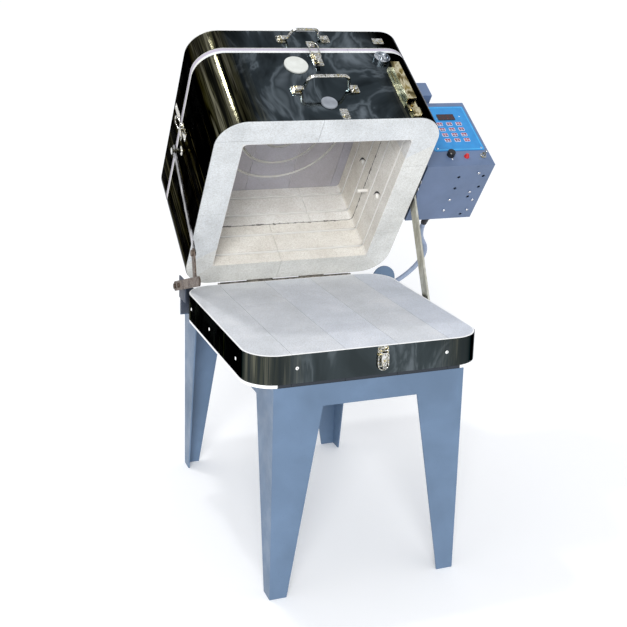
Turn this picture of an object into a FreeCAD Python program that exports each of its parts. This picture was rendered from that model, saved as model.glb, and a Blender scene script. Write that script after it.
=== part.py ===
import FreeCAD, Part

import math
import os

# Clamshell glass fusing kiln on a four-legged stand, in millimetres.
# X runs to the right, Y to the back and Z up. The origin is on the floor, under the centre of the base slab.
# Pieces of the kiln body and lid are drawn shut, standing on the base, and are then turned open about the
# hinge pin.

V = FreeCAD.Vector
X_AXIS = V(1, 0, 0)
Y_AXIS = V(0, 1, 0)
Z_AXIS = V(0, 0, 1)

# Firebrick and overall sizes
kiln_width = 515.0
kiln_depth = 515.0
corner_radius = 66.0
wall_thickness = 63.5
slab_thickness = 63.5
course_height = 117.5
chamber_corner = 10.0
brick_joint = 0.9
floor_strip_width = 114.3
base_top = 523.0

# Steel jackets
sheet = 1.0
base_band_height = 59.0
lid_band_height = 58.0
rim_lip = 3.0
body_band_top_gap = 16.0
lid_band_lift = 1.0
seam_gap = 0.8
rim_gap = 0.8
fit_gap = 0.3

# Opening of the clamshell
open_angle = 54.64
pin_behind_back = 5.0
pin_below_top = 2.0

# Hinges
hinge_pin_radius = 2.6
knuckle_radius = 4.6
pin_clearance = 0.06
hinge_length = 330.0
knuckle_count = 5
knuckle_gap = 0.8
leaf_thickness = 1.6
leaf_height = 32.0
lid_hinge_length = 260.0

# Hinge carriers: an angle across the back, a rounded ear on its right, a block with a flank on its left
carrier_gap = 2.0
carrier_reach = 4.5
carrier_plate = 3.0
carrier_foot = 12.0
angle_drop = 15.0
ear_radius = 30.0
ear_drop = 17.0
ear_thickness = 4.0
ear_bolt_spread = 16.0
ear_bolt_radius = 5.0
block_width = 29.0
block_inset = 5.5
block_rise = 11.0
flank_inset = 52.5
flank_drop = 23.0
flank_rise = 29.0

# Element grooves and heating coils
groove_height = 7.5
groove_depth = 14.0
groove_heights = (31.0, 86.0, 150.0, 207.0)
coil_radius = 2.8
lid_groove_radii = (47.0, 101.0, 150.0)
lid_groove_depth = 10.0
lid_coil_radius = 2.8

# Peepholes and the plugs that close them
upper_plug_x = -43.0
upper_plug_height = 176.0
upper_plug_radius = 27.0
upper_plug_inner = 18.0
lower_plug_x = -3.0
lower_plug_height = 53.0
lower_plug_radius = 18.0
lower_plug_inner = 12.0
plug_proud = 4.0
plug_clearance = 0.5

# Stand
stand_inset = 49.0
stand_front = -257.0
stand_back = 425.0
leg_plate = 3.0
leg_top_flange = 105.0
leg_foot_flange = 37.0
rail_height = 45.0
rail_flange = 32.0
deck_sheet = 1.5
deck_lip = 12.0

# Control box, hung off the right side of the body
box_gap = 18.0
box_width = 177.0
box_depth = 183.0
box_height = 216.0
box_front = -86.0
box_bottom = 20.0
box_sheet = 1.5
panel_left = 36.0
panel_width = 134.0
panel_height = 153.0
panel_bottom = 49.0
panel_thickness = 1.2
key_width = 15.0
key_height = 11.0
key_pitch_x = 25.6
key_pitch_z = 18.6
key_rows = 4
key_columns = 3
display_width = 46.0
display_height = 20.0
standoff_radius = 7.0
control_height = 28.6
knob_rise = 6.4
key_left = 48.0
key_top = 90.5
display_left = 50.0
display_rise = 104.0
floor_holes = ((94.5, 39.0), (97.5, 77.0), (159.5, 38.0), (160.5, 75.0), (143.5, 108.0), (145.5, 170.0))
floor_screws = ((142.5, 26.0), (141.5, 90.0), (159.5, 119.0), (96.5, 115.0), (93.5, 152.0), (157.5, 154.0))
terminal_width = 107.5
knob_x = 72.0
lamp_x = 112.0
toggle_x = 156.0
knob_radius = 9.5
lamp_radius = 6.5

# Draw latches: a plate with ears, a lever, a wire loop and a hooked strike
latch_half = 12.0
latch_top = 17.0
latch_foot = 26.0
latch_plate = 1.2
latch_pin_rise = 9.0
latch_pin_out = 6.0
latch_pin_radius = 1.5
latch_wire = 1.3
loop_half = 11.0
loop_rise = 1.0
loop_out = 4.2
hook_ledge_out = 7.2
hook_lip = 1.4
hook_half = 4.0
hook_slack = 1.2
base_latch_x = 22.5
base_latch_z = 505.0
base_loop_length = 33.0
lid_latch_x = 11.0
side_latch_y = -50.0
lid_latch_height = 200.0
lid_loop_length = 42.0

# Handles
body_handle_x = (-67.0, 68.0)
body_handle_height = 95.0
body_handle_rise = 40.0
body_handle_rod = 4.0
lid_handle_x = (-55.0, 50.0)
lid_handle_height = 264.0
lid_handle_rise = 30.0
lid_handle_rod = 3.25
handle_foot = 21.0
handle_foot_thickness = 2.0

# Prop arm on the right side: it hangs from the body and slides through a swivelling guide on the base
arm_width = 28.0
arm_thickness = 4.5
arm_offset = 6.5
arm_lean = 23.5
arm_tail = 20.0
guide_y = 15.7
guide_z = 468.0
guide_wall = 1.5
guide_half_height = 14.0
arm_pin_radius = 4.0
arm_bracket_thickness = 4.5

# Rest strut on the left side, which the open body leans against
strut_offset = 14.5
strut_thickness = 3.0
strut_width = 14.0
stud_radius = 5.0
stud_y = -5.0
stud_height = 181.0
rest_bar_back = (248.0, 530.0)
rest_bar_front = (44.0, 597.0)
rest_bar_width = 22.0
rest_bolts = ((244.0, 531.0), (215.0, 541.0))
rest_bolt_radius = 7.0
rest_knee = (74.0, 587.0)
strut_bolt = (89.0, 648.0)

# Power cord, a round lead of this diameter, with its spare length coiled on the deck
cord_diameter = 12.0
gland_left = 64.5
gland_rise = 14.0
gland_length = 28.0
gland_radius = 10.0
gland_tip_radius = 7.4
coil_x = 118.0
coil_y = 348.0
coil_mean_radius = 62.0
coil_leave_angle = 25.0
coil_tail = 60.0
plug_body_radius = 18.0

half_width = kiln_width / 2
half_depth = kiln_depth / 2
inner_half_x = half_width - wall_thickness
inner_half_y = half_depth - wall_thickness
pin_y = half_depth + pin_behind_back
pin_z = base_top - pin_below_top
rim_z = base_top + rim_gap
body_height = 2 * course_height
body_top = rim_z + body_height
lid_bottom = body_top + seam_gap
lid_top = lid_bottom + slab_thickness
deck_top = base_top - slab_thickness - 3.5
stand_top = deck_top - deck_sheet
half_stand = half_width - stand_inset

shapes = {}


def box(x0, x1, y0, y1, z0, z1):
    return Part.makeBox(x1 - x0, y1 - y0, z1 - z0, V(x0, y0, z0))


def rod(start, direction, radius, length):
    return Part.makeCylinder(radius, length, V(*start), direction)


def cone(start, direction, radius, end_radius, length):
    return Part.makeCone(radius, end_radius, length, V(*start), direction)


def fuse(pieces):
    first = pieces[0]
    if len(pieces) > 1:
        first = first.multiFuse(pieces[1:])
    return first.removeSplitter()


def group(pieces):
    return Part.makeCompound(pieces)


def opened(shape):
    """turns a piece drawn shut into the open position"""
    turned = shape.copy()
    turned.rotate(V(0, pin_y, pin_z), X_AXIS, -open_angle)
    return turned


def opened_point(x, y, z):
    return FreeCAD.Rotation(X_AXIS, -open_angle).multVec(V(x, y - pin_y, z - pin_z)) + V(0, pin_y, pin_z)


def edges_along(shape, axis):
    """straight edges that run along an axis"""
    found = []
    for edge in shape.Edges:
        if not isinstance(edge.Curve, Part.Line):
            continue
        if abs(abs(edge.tangentAt(edge.FirstParameter).dot(axis)) - 1) < 1e-6:
            found.append(edge)
    return found


def rounded_block(half_x, half_y, radius, z0, z1):
    block = box(-half_x, half_x, -half_y, half_y, z0, z1)
    if radius > 0:
        block = block.makeFillet(radius, edges_along(block, Z_AXIS))
    return block


def plate_xz(points, y0, thickness):
    """plate of an outline in the XZ plane"""
    wire = Part.makePolygon([V(x, y0, z) for x, z in points + points[:1]])
    return Part.Face(wire).extrude(V(0, thickness, 0))


def plate_yz(points, x0, thickness):
    """plate of an outline in the YZ plane"""
    wire = Part.makePolygon([V(x0, y, z) for y, z in points + points[:1]])
    return Part.Face(wire).extrude(V(thickness, 0, 0))


def bent_path(points, bends):
    """straight runs joined by tangent arcs, one bend radius for each inner point"""
    edges = []
    last = points[0]
    for i in range(1, len(points) - 1):
        before = (points[i - 1] - points[i]).normalize()
        after = (points[i + 1] - points[i]).normalize()
        half_turn = (math.pi - before.getAngle(after)) / 2
        reach = bends[i - 1] * math.tan(half_turn)
        middle = (before + after).normalize()
        centre = points[i] + middle * (bends[i - 1] / math.cos(half_turn))
        a = points[i] + before * reach
        b = points[i] + after * reach
        edges.append(Part.LineSegment(last, a).toShape())
        edges.append(Part.Arc(a, centre - middle * bends[i - 1], b).toShape())
        last = b
    edges.append(Part.LineSegment(last, points[-1]).toShape())
    return Part.Wire(edges)


def bent_rod(points, radius, bends):
    path = bent_path(points, bends)
    start = (points[1] - points[0]).normalize()
    section = Part.Wire(Part.makeCircle(radius, points[0], start))
    return path.makePipeShell([section], True, False)


def cord_bends(points):
    """the largest arcs that the runs of a free cord allow"""
    radii = []
    for i in range(1, len(points) - 1):
        before = points[i] - points[i - 1]
        after = points[i + 1] - points[i]
        turn = before.getAngle(after)
        radii.append(0.45 * min(before.Length, after.Length) / math.tan(turn / 2))
    return radii


# Stand: four tapered legs of folded plate, a top frame of angle and a deck of sheet steel

def leg(side, y_corner, inward):
    """side is -1 or 1, inward is the way along Y from the corner to the middle of the stand"""
    corner_x = side * half_stand
    front = plate_xz(
        [
            (corner_x, 0),
            (corner_x - side * leg_foot_flange, 0),
            (corner_x - side * leg_top_flange, stand_top - rail_height),
            (corner_x - side * leg_top_flange, stand_top),
            (corner_x, stand_top),
        ],
        y_corner if inward > 0 else y_corner - leg_plate,
        leg_plate,
    )
    flank = plate_yz(
        [
            (y_corner, 0),
            (y_corner + inward * leg_foot_flange, 0),
            (y_corner + inward * leg_top_flange, stand_top - rail_height),
            (y_corner + inward * leg_top_flange, stand_top),
            (y_corner, stand_top),
        ],
        corner_x if side < 0 else corner_x - leg_plate,
        leg_plate,
    )
    return fuse([front, flank])


shapes["leg_front_left"] = leg(-1, stand_front, 1)
shapes["leg_front_right"] = leg(1, stand_front, 1)
shapes["leg_rear_left"] = leg(-1, stand_back, -1)
shapes["leg_rear_right"] = leg(1, stand_back, -1)


def angle_rail_x(y_face, inward):
    """top rail of angle steel that spans the front or the back between two legs, flush with their faces"""
    x1 = half_stand - leg_top_flange
    y1 = y_face + inward * leg_plate
    web = box(-x1, x1, min(y_face, y1), max(y_face, y1), stand_top - rail_height, stand_top)
    y2 = y_face + inward * rail_flange
    x2 = half_stand - leg_plate
    shelf_y = (min(y1, y2), max(y1, y2))
    shelf = box(-x2, x2, shelf_y[0], shelf_y[1], stand_top - leg_plate, stand_top)
    return fuse([web, shelf])


def angle_rail_y(side):
    y0 = stand_front + leg_top_flange
    y1 = stand_back - leg_top_flange
    x0 = side * half_stand
    x1 = x0 - side * leg_plate
    x2 = x0 - side * rail_flange
    web = box(min(x0, x1), max(x0, x1), y0, y1, stand_top - rail_height, stand_top)
    shelf = box(
        min(x1, x2), max(x1, x2), stand_front + rail_flange, stand_back - rail_flange,
        stand_top - leg_plate, stand_top,
    )
    return fuse([web, shelf])


rails = [angle_rail_x(stand_front, 1), angle_rail_x(stand_back, -1), angle_rail_y(-1), angle_rail_y(1)]
shapes["top_frame"] = fuse(rails)

deck = box(-half_stand, half_stand, stand_front, stand_back, stand_top, deck_top)
deck_edge = box(
    -half_stand, half_stand, stand_back - deck_sheet, stand_back, deck_top, deck_top + deck_lip
)
shapes["stand_deck"] = fuse([deck, deck_edge])


# Base: floor bricks in a polished band

def split_by(shape, cutters):
    for cutter in cutters:
        shape = shape.cut(cutter)
    return shape


def slab_with_strips(z0, z1, y_joints):
    """brick slab cut into strips that run front to back"""
    inset = sheet + 0.2
    slab = rounded_block(half_width - inset, half_depth - inset, corner_radius - inset, z0, z1)
    cutters = []
    strips = int(half_width / floor_strip_width)
    for i in range(-strips, strips + 1):
        x = (i + 0.5) * floor_strip_width
        if abs(x) < half_width - 20:
            cutters.append(box(x - brick_joint / 2, x + brick_joint / 2, -half_depth, half_depth, z0, z1))
    for i, y in enumerate(y_joints):
        x0 = (i - len(y_joints) / 2) * floor_strip_width
        cutters.append(
            box(
                x0, x0 + floor_strip_width,
                y - brick_joint / 2, y + brick_joint / 2, z0, z1,
            )
        )
    return split_by(slab, cutters)


def band(z0, z1):
    outer = rounded_block(half_width, half_depth, corner_radius, z0, z1)
    inner = rounded_block(half_width - sheet, half_depth - sheet, corner_radius - sheet, z0, z1)
    return outer.cut(inner)


base_bottom = deck_top
shapes["base_floor_bricks"] = slab_with_strips(base_bottom, base_top, (-60.0, 85.0, -95.0, 40.0, 110.0))

band_middle = base_top - 28
screw_head = 3.4
screws = []
for x in (-161.0, 166.0):
    screws.append(rod((x, -half_depth, band_middle), V(0, -1, 0), screw_head, 1.6))
for x in (-205.0, 205.0):
    screws.append(rod((x * 0.9, half_depth, band_middle), Y_AXIS, screw_head, 1.6))
for y in (-170.0, 22.0, 171.0):
    screws.append(rod((-half_width, y, band_middle), V(-1, 0, 0), screw_head, 1.6))
for y in (-170.0, 171.0):
    screws.append(rod((half_width, y, band_middle), X_AXIS, screw_head, 1.6))
shapes["base_jacket"] = fuse([band(base_top - base_band_height - 1, base_top - 1)] + screws)


# Kiln body: two courses of grooved firebrick, their elements and the polished jacket

def chamber(z0, z1):
    return rounded_block(inner_half_x, inner_half_y, chamber_corner, z0, z1)


def groove(height):
    z = rim_z + height
    return rounded_block(
        inner_half_x + groove_depth, inner_half_y + groove_depth, chamber_corner,
        z - groove_height / 2, z + groove_height / 2,
    )


upper_plug_z = rim_z + upper_plug_height
lower_plug_z = rim_z + lower_plug_height


def plug_bore(x, z, radius, inner_radius, extra):
    """tapered hole through the front wall"""
    return cone(
        (x, -half_depth - 1, z), Y_AXIS,
        radius + extra, inner_radius + extra, wall_thickness + 2,
    )


bores = [
    plug_bore(upper_plug_x, upper_plug_z, upper_plug_radius, upper_plug_inner, plug_clearance),
    plug_bore(lower_plug_x, lower_plug_z, lower_plug_radius, lower_plug_inner, plug_clearance),
]
port_y = 36.0
port_radius = 8.5
port_inset = 8.0
port_heights = (50.0, 163.5)
thermocouple_y = 70.0
thermocouple_z = rim_z + 100.0
ports = [
    rod((inner_half_x - 1, port_y, rim_z + h), X_AXIS, port_radius + fit_gap, wall_thickness + 4)
    for h in port_heights
]
ports.append(rod((inner_half_x - 1, thermocouple_y, thermocouple_z), X_AXIS, 5.0, wall_thickness + 4))

inset = sheet + 0.2


def course(z0, joints):
    z1 = z0 + course_height
    ring = rounded_block(half_width - inset, half_depth - inset, corner_radius - inset, z0, z1)
    ring = ring.cut(chamber(z0 - 1, z1 + 1))
    for h in groove_heights:
        ring = ring.cut(groove(h))
    for hole in bores + ports:
        ring = ring.cut(hole)
    for wall, place in joints:
        if wall in ("front", "back"):
            y0, y1 = (-half_depth, -inner_half_y + 20) if wall == "front" else (inner_half_y - 20, half_depth)
            cutter = box(place - brick_joint / 2, place + brick_joint / 2, y0, y1, z0, z1)
        else:
            x0, x1 = (-half_width, -inner_half_x + 20) if wall == "left" else (inner_half_x - 20, half_width)
            cutter = box(x0, x1, place - brick_joint / 2, place + brick_joint / 2, z0, z1)
        ring = ring.cut(cutter)
    return ring


lower_joints = [
    ("front", -29.0), ("left", 17.0), ("left", -204.0), ("right", 114.0), ("right", -111.0), ("back", -25.0),
]
upper_joints = [("front", 96.0), ("left", -70.0), ("right", -20.0), ("back", 84.0), ("left", 120.0)]
shapes["wall_course_lower"] = opened(course(rim_z, lower_joints))
shapes["wall_course_upper"] = opened(course(rim_z + course_height, upper_joints))


def wall_loop(height):
    """one turn of heating coil, in its groove"""
    z = rim_z + height
    x = inner_half_x + groove_depth - coil_radius - fit_gap
    y = inner_half_y + groove_depth - coil_radius - fit_gap
    bend = 3 * coil_radius
    points = [
        V(x, port_y + 7, z), V(x, y, z), V(-x, y, z), V(-x, -y, z), V(x, -y, z), V(x, port_y - 7, z)
    ]
    return bent_rod(points, coil_radius, [bend] * 4)


shapes["wall_elements"] = opened(group([wall_loop(h) for h in groove_heights]))

jacket_bottom = rim_z + rim_lip
jacket_top = body_top - body_band_top_gap
jacket = band(jacket_bottom, jacket_top)
for hole in bores + ports:
    jacket = jacket.cut(hole)
shapes["body_jacket"] = opened(jacket)

port_bushes = []
for h in port_heights:
    bush = rod(
        (inner_half_x + port_inset, port_y, rim_z + h), X_AXIS, port_radius, wall_thickness + 2 - port_inset
    )
    port_bushes.append(bush.cut(rod((inner_half_x, port_y, rim_z + h), X_AXIS, 3.0, 20.0)))

thermocouple_tube = rod((inner_half_x - 26, thermocouple_y, thermocouple_z), X_AXIS, 4.7, wall_thickness + 28)
thermocouple_head = box(
    half_width + 2, half_width + 13, thermocouple_y - 12, thermocouple_y + 12,
    thermocouple_z - 9, thermocouple_z + 9,
)
shapes["wall_feedthroughs"] = opened(group(port_bushes + [fuse([thermocouple_tube, thermocouple_head])]))


def plug(x, z, radius, inner_radius):
    """tapered ceramic plug with a head that stands proud of the jacket"""
    taper = (radius - inner_radius) / (wall_thickness + 2)
    body = cone(
        (x, -half_depth - 1, z), Y_AXIS, radius, radius - taper * (wall_thickness - 4), wall_thickness - 4
    )
    head = rod((x, -half_depth - plug_proud, z), Y_AXIS, radius, plug_proud - 1)
    face_y = -half_depth - plug_proud
    head = head.makeChamfer(1.2, [e for e in head.Edges if abs(e.CenterOfMass.y - face_y) < 0.01])
    return fuse([head, body])


shapes["upper_peephole_plug"] = opened(
    plug(upper_plug_x, upper_plug_z, upper_plug_radius, upper_plug_inner)
)
shapes["lower_peephole_plug"] = opened(
    plug(lower_plug_x, lower_plug_z, lower_plug_radius, lower_plug_inner)
)


# Lid: brick slab with ring grooves, its coil and band

lid = slab_with_strips(lid_bottom, lid_top, (70.0, -60.0, 30.0, -90.0, 60.0))
for radius in lid_groove_radii:
    lid_ring = rod((0, 0, lid_bottom - 1), Z_AXIS, radius + groove_height / 2, lid_groove_depth + 1)
    lid_ring = lid_ring.cut(
        rod((0, 0, lid_bottom - 1), Z_AXIS, radius - groove_height / 2, lid_groove_depth + 1)
    )
    lid = lid.cut(lid_ring)
shapes["lid_bricks"] = opened(lid)
lid_coils = []
for radius in lid_groove_radii:
    z = lid_bottom + lid_groove_depth - lid_coil_radius - fit_gap
    lid_coils.append(Part.makeTorus(radius, lid_coil_radius, V(0, 0, z), Z_AXIS, -180, 180, 345))
shapes["lid_element"] = opened(group(lid_coils))
lid_band_bottom = lid_bottom + lid_band_lift
shapes["lid_jacket"] = opened(band(lid_band_bottom, lid_band_bottom + lid_band_height))


# Hinges: leaves of folded sheet with knuckles round a common pin

def hinge_leaf(length, y_face, pin_height, up, first):
    """leaf above or below the pin, with every second knuckle"""
    step = length / knuckle_count
    z0 = pin_height + (knuckle_radius + 1.0) * up
    z1 = pin_height + leaf_height * up
    pieces = [box(-length / 2, length / 2, y_face, y_face + leaf_thickness, min(z0, z1), max(z0, z1))]
    py = y_face + pin_behind_back
    for i in range(first, knuckle_count, 2):
        x0 = -length / 2 + i * step + knuckle_gap / 2
        x1 = x0 + step - knuckle_gap
        barrel = rod((x0, py, pin_height), X_AXIS, knuckle_radius, x1 - x0)
        strap = box(x0, x1, y_face, y_face + leaf_thickness, min(z0, pin_height), max(z0, pin_height))
        pieces.append(fuse([barrel, strap]))
    leaf = fuse(pieces)
    bore = rod((-length, py, pin_height), X_AXIS, hinge_pin_radius + pin_clearance, 2 * length)
    return leaf.cut(bore)


def hinge_pin(length, y, z):
    pin = rod((-length / 2 - 2, y, z), X_AXIS, hinge_pin_radius, length + 4)
    heads = [
        rod((-length / 2 - 5, y, z), X_AXIS, hinge_pin_radius + 1.2, 3),
        rod((length / 2 + 2, y, z), X_AXIS, hinge_pin_radius + 1.2, 3),
    ]
    return fuse([pin] + heads)


base_leaf = hinge_leaf(hinge_length, half_depth, pin_z, -1, 0)
shapes["base_hinge"] = group([base_leaf, hinge_pin(hinge_length, pin_y, pin_z)])
shapes["body_hinge_leaf"] = opened(hinge_leaf(hinge_length, half_depth, pin_z, 1, 1))

lid_pin_z = body_top - body_band_top_gap / 2
shapes["lid_hinge_leaf"] = opened(hinge_leaf(lid_hinge_length, half_depth, lid_pin_z, 1, 1))
lower_leaf = hinge_leaf(lid_hinge_length, half_depth, lid_pin_z, -1, 0)
shapes["lid_hinge_lower"] = opened(group([lower_leaf, hinge_pin(lid_hinge_length, pin_y, lid_pin_z)]))

# Hinge carriers, bolted to an angle across the back of the deck

carrier_x = half_width + carrier_reach
carrier_y = half_depth + carrier_gap
web_back = carrier_y + carrier_plate
foot_top = deck_top + carrier_plate
angle_web = box(-carrier_x, carrier_x, carrier_y, web_back, deck_top, base_top - angle_drop)
angle_foot = box(-half_stand, half_stand, carrier_y, carrier_y + carrier_foot, deck_top, foot_top)
ear_z = base_top - ear_drop
ear_x0 = carrier_x - ear_radius
ear_x1 = carrier_x + ear_radius
ear_outline = [(ear_x0, foot_top), (ear_x1, foot_top), (ear_x1, ear_z)]
for step in range(1, 12):
    turn = math.pi * step / 12
    ear_outline.append((carrier_x + ear_radius * math.cos(turn), ear_z + ear_radius * math.sin(turn)))
ear_outline.append((ear_x0, ear_z))
ear = plate_xz(ear_outline, web_back, ear_thickness)
ear_bolts = []
for x in (carrier_x - ear_bolt_spread, carrier_x + ear_bolt_spread):
    ear_bolts.append(rod((x, web_back + ear_thickness, ear_z - ear_bolt_spread), Y_AXIS, ear_bolt_radius, 4))
shapes["hinge_carrier_right"] = fuse([angle_web, angle_foot, ear] + ear_bolts)
flank_x = -carrier_x - carrier_plate
block_y = half_depth - block_inset
block = box(
    -carrier_x, -carrier_x + block_width, block_y, carrier_y, deck_top + 4, base_top + block_rise
)
flank = box(
    flank_x, -carrier_x, half_depth - flank_inset, carrier_y, base_top - flank_drop, base_top + flank_rise
)
shapes["hinge_carrier_left"] = fuse([block, flank])

# Rest strut and the bracket that carries it

rest_x = -half_width - strut_offset - strut_thickness


def flat_bar(start, end, width, x0, thickness):
    """flat bar in a YZ plane with rounded ends"""
    dy = end[0] - start[0]
    dz = end[1] - start[1]
    length = math.hypot(dy, dz)
    ny = -dz / length * width / 2
    nz = dy / length * width / 2
    outline = [
        (start[0] + ny, start[1] + nz), (end[0] + ny, end[1] + nz),
        (end[0] - ny, end[1] - nz), (start[0] - ny, start[1] - nz),
    ]
    pieces = [plate_yz(outline, x0, thickness)]
    for y, z in (start, end):
        pieces.append(rod((x0, y, z), X_AXIS, width / 2, thickness))
    return fuse(pieces)


stud = opened_point(0, stud_y, base_top + stud_height)
bar_x = rest_x - strut_thickness
bracket = [
    flat_bar(rest_bar_back, rest_bar_front, rest_bar_width, bar_x, strut_thickness),
    flat_bar(rest_knee, strut_bolt, rest_bar_width, bar_x, strut_thickness),
    rod((bar_x - 4, strut_bolt[0], strut_bolt[1]), X_AXIS, rest_bolt_radius, 4),
]
for y, z in rest_bolts:
    bracket.append(rod((rest_x, y, z), X_AXIS, rest_bolt_radius, flank_x - rest_x))
    bracket.append(rod((bar_x - 4, y, z), X_AXIS, rest_bolt_radius - 1, 4))
shapes["rest_bracket"] = fuse(bracket)
strut_top = (stud.y + 8, stud.z - 2)
strut = fuse(
    [
        flat_bar(strut_bolt, strut_top, strut_width, rest_x, strut_thickness),
        rod((rest_x, strut_top[0], strut_top[1]), X_AXIS, 15, strut_thickness),
    ]
)
notch = rod((rest_x - 1, stud.y, stud.z), X_AXIS, stud_radius + fit_gap, strut_thickness + 2)
notch_mouth = box(
    rest_x - 1, rest_x + strut_thickness + 1, stud.y - 30, stud.y,
    stud.z - stud_radius - fit_gap, stud.z + stud_radius + fit_gap,
)
shapes["rest_strut"] = strut.cut(notch).cut(notch_mouth)
rest_stud = fuse(
    [
        rod((rest_x - 6, stud_y, base_top + stud_height), X_AXIS, stud_radius, -half_width - rest_x + 6),
        rod((-half_width - 3, stud_y, base_top + stud_height), X_AXIS, 11, 3),
        rod((rest_x - 8, stud_y, base_top + stud_height), X_AXIS, 8, 4),
    ]
)
shapes["rest_stud"] = opened(rest_stud)

# Prop arm, its bracket on the body and the swivelling guide on the base

lean = math.radians(arm_lean)
arm_way = V(0, math.sin(lean), math.cos(lean))
guide_point = V(0, guide_y, guide_z)
arm_reach = -2 * (guide_point - V(0, pin_y, pin_z)).dot(arm_way)
arm_x = half_width + arm_offset


def upright(shape):
    """leans a piece drawn upright over its foot into the line of the arm"""
    turned = shape.copy()
    turned.rotate(V(0, 0, 0), X_AXIS, -arm_lean)
    return turned


arm = box(arm_x, arm_x + arm_thickness, -arm_width / 2, arm_width / 2, -arm_tail, arm_reach)
arm = fuse([arm, rod((arm_x, 0, arm_reach), X_AXIS, arm_width / 2, arm_thickness)])
arm = arm.cut(rod((arm_x - 1, 0, arm_reach), X_AXIS, arm_pin_radius + 0.08, arm_thickness + 2))
arm = upright(arm)
arm.translate(guide_point)
shapes["prop_arm"] = arm

closed_lean = lean - math.radians(open_angle / 2)
closed_way = V(0, math.sin(closed_lean), math.cos(closed_lean))
closed_reach = -2 * (guide_point - V(0, pin_y, pin_z)).dot(closed_way)
arm_hub = guide_point + closed_way * closed_reach
bracket_outer = half_width + arm_bracket_thickness
arm_bracket = fuse(
    [
        box(half_width, bracket_outer, -57, 26, rim_z + 3.5, rim_z + 30),
        rod((half_width, arm_hub.y, arm_hub.z), X_AXIS, 9, arm_offset - 0.3),
        rod((half_width, arm_hub.y, arm_hub.z), X_AXIS, arm_pin_radius, arm_offset + arm_thickness + 1),
        rod((arm_x + arm_thickness + 0.3, arm_hub.y, arm_hub.z), X_AXIS, 8.5, 4.5),
        rod((bracket_outer, -46, rim_z + 12), X_AXIS, 6, 4),
        rod((bracket_outer, -23, rim_z + 12), X_AXIS, 6, 4),
    ]
)
shapes["arm_bracket"] = opened(arm_bracket)

guide_hole = (arm_width / 2 + fit_gap, arm_thickness + 2 * fit_gap)
guide_x0 = arm_x - fit_gap - guide_wall
guide_x1 = arm_x + arm_thickness + fit_gap + guide_wall
sleeve = box(
    guide_x0, guide_x1, -guide_hole[0] - guide_wall, guide_hole[0] + guide_wall,
    -guide_half_height, guide_half_height,
)
sleeve = sleeve.cut(
    box(
        arm_x - fit_gap, arm_x + arm_thickness + fit_gap, -guide_hole[0], guide_hole[0],
        -guide_half_height - 1, guide_half_height + 1,
    )
)
sleeve_pin = rod((half_width + 0.3, 0, 0), X_AXIS, 5, guide_x0 - half_width - 0.3)
sleeve = upright(fuse([sleeve, sleeve_pin]))
sleeve.translate(guide_point)
shapes["arm_guide"] = sleeve
guide_plate = box(half_width, guide_x0 - 0.4, guide_y - 34, guide_y + 34, guide_z - 8, guide_z + 12)
guide_plate = guide_plate.makeFillet(5, edges_along(guide_plate, X_AXIS))
guide_plate = guide_plate.cut(rod((half_width - 1, guide_y, guide_z), X_AXIS, 5.08, 20))
guide_bolts = [rod((guide_x0 - 0.4, guide_y + y, guide_z + 2), X_AXIS, 4, 3) for y in (-27, 27)]
shapes["arm_guide_bracket"] = fuse([guide_plate] + guide_bolts)

# Draw latches, drawn round their own middle with the face at Y zero, X across and Z up


def on_front(shape, x, z):
    placed = shape.copy()
    placed.translate(V(x, -half_depth, z))
    return placed


def on_left(shape, y, z):
    placed = shape.copy()
    placed.rotate(V(0, 0, 0), Z_AXIS, -90)
    placed.translate(V(-half_width, y, z))
    return placed


def latch_base():
    plate = box(-latch_half, latch_half, -latch_plate, 0, -latch_foot, latch_top)
    plate = plate.makeFillet(4, edges_along(plate, Y_AXIS))
    pieces = [plate]
    for side in (-1, 1):
        ear_x = sorted((side * 7.2, side * 8.4))
        pieces.append(box(ear_x[0], ear_x[1], -8.5, -latch_plate, latch_pin_rise - 5, latch_pin_rise + 5))
    pieces.append(rod((-9.4, -latch_pin_out, latch_pin_rise), X_AXIS, latch_pin_radius, 18.8))
    for x in (-8.5, 8.5):
        pieces.append(rod((x, -latch_plate, -latch_foot + 5), V(0, -1, 0), 1.9, 0.7))
    return fuse(pieces)


def latch_lever():
    web = plate_xz([(-6.8, 5), (6.8, 5), (6.8, -8), (4.5, -22), (-4.5, -22), (-6.8, -8)], -9.2, 1.2)
    tip = plate_yz([(-8, -22), (-9.2, -22), (-12.6, -27.4), (-11.6, -28.2)], -4.5, 9.0)
    pieces = [web, tip, rod((0, -9.2, -15), V(0, -1, 0), 2.2, 0.8)]
    outline = [(-2, -3), (-2, 4), (-3.6, 11.6), (-8, 12), (-9.2, 5), (-9.2, -12), (-8, -12)]
    for side in (-1, 1):
        pieces.append(plate_yz(outline, min(side * 5.6, side * 6.8), 1.2))
    lever = fuse(pieces)
    lever = lever.cut(rod((-9, -latch_pin_out, latch_pin_rise), X_AXIS, latch_pin_radius + 0.06, 18))
    return lever.cut(rod((-9, -loop_out, loop_rise), X_AXIS, latch_wire + 0.06, 18))


def latch_loop(length, lean_angle):
    points = [
        V(5.2, 0, 0), V(loop_half, 0, 0), V(loop_half, 0, length),
        V(-loop_half, 0, length), V(-loop_half, 0, 0), V(-5.2, 0, 0),
    ]
    loop = bent_rod(points, latch_wire, [2.2, 10.6, 10.6, 2.2])
    loop.rotate(V(0, 0, 0), X_AXIS, lean_angle)
    loop.translate(V(0, -loop_out, loop_rise))
    return loop


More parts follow.
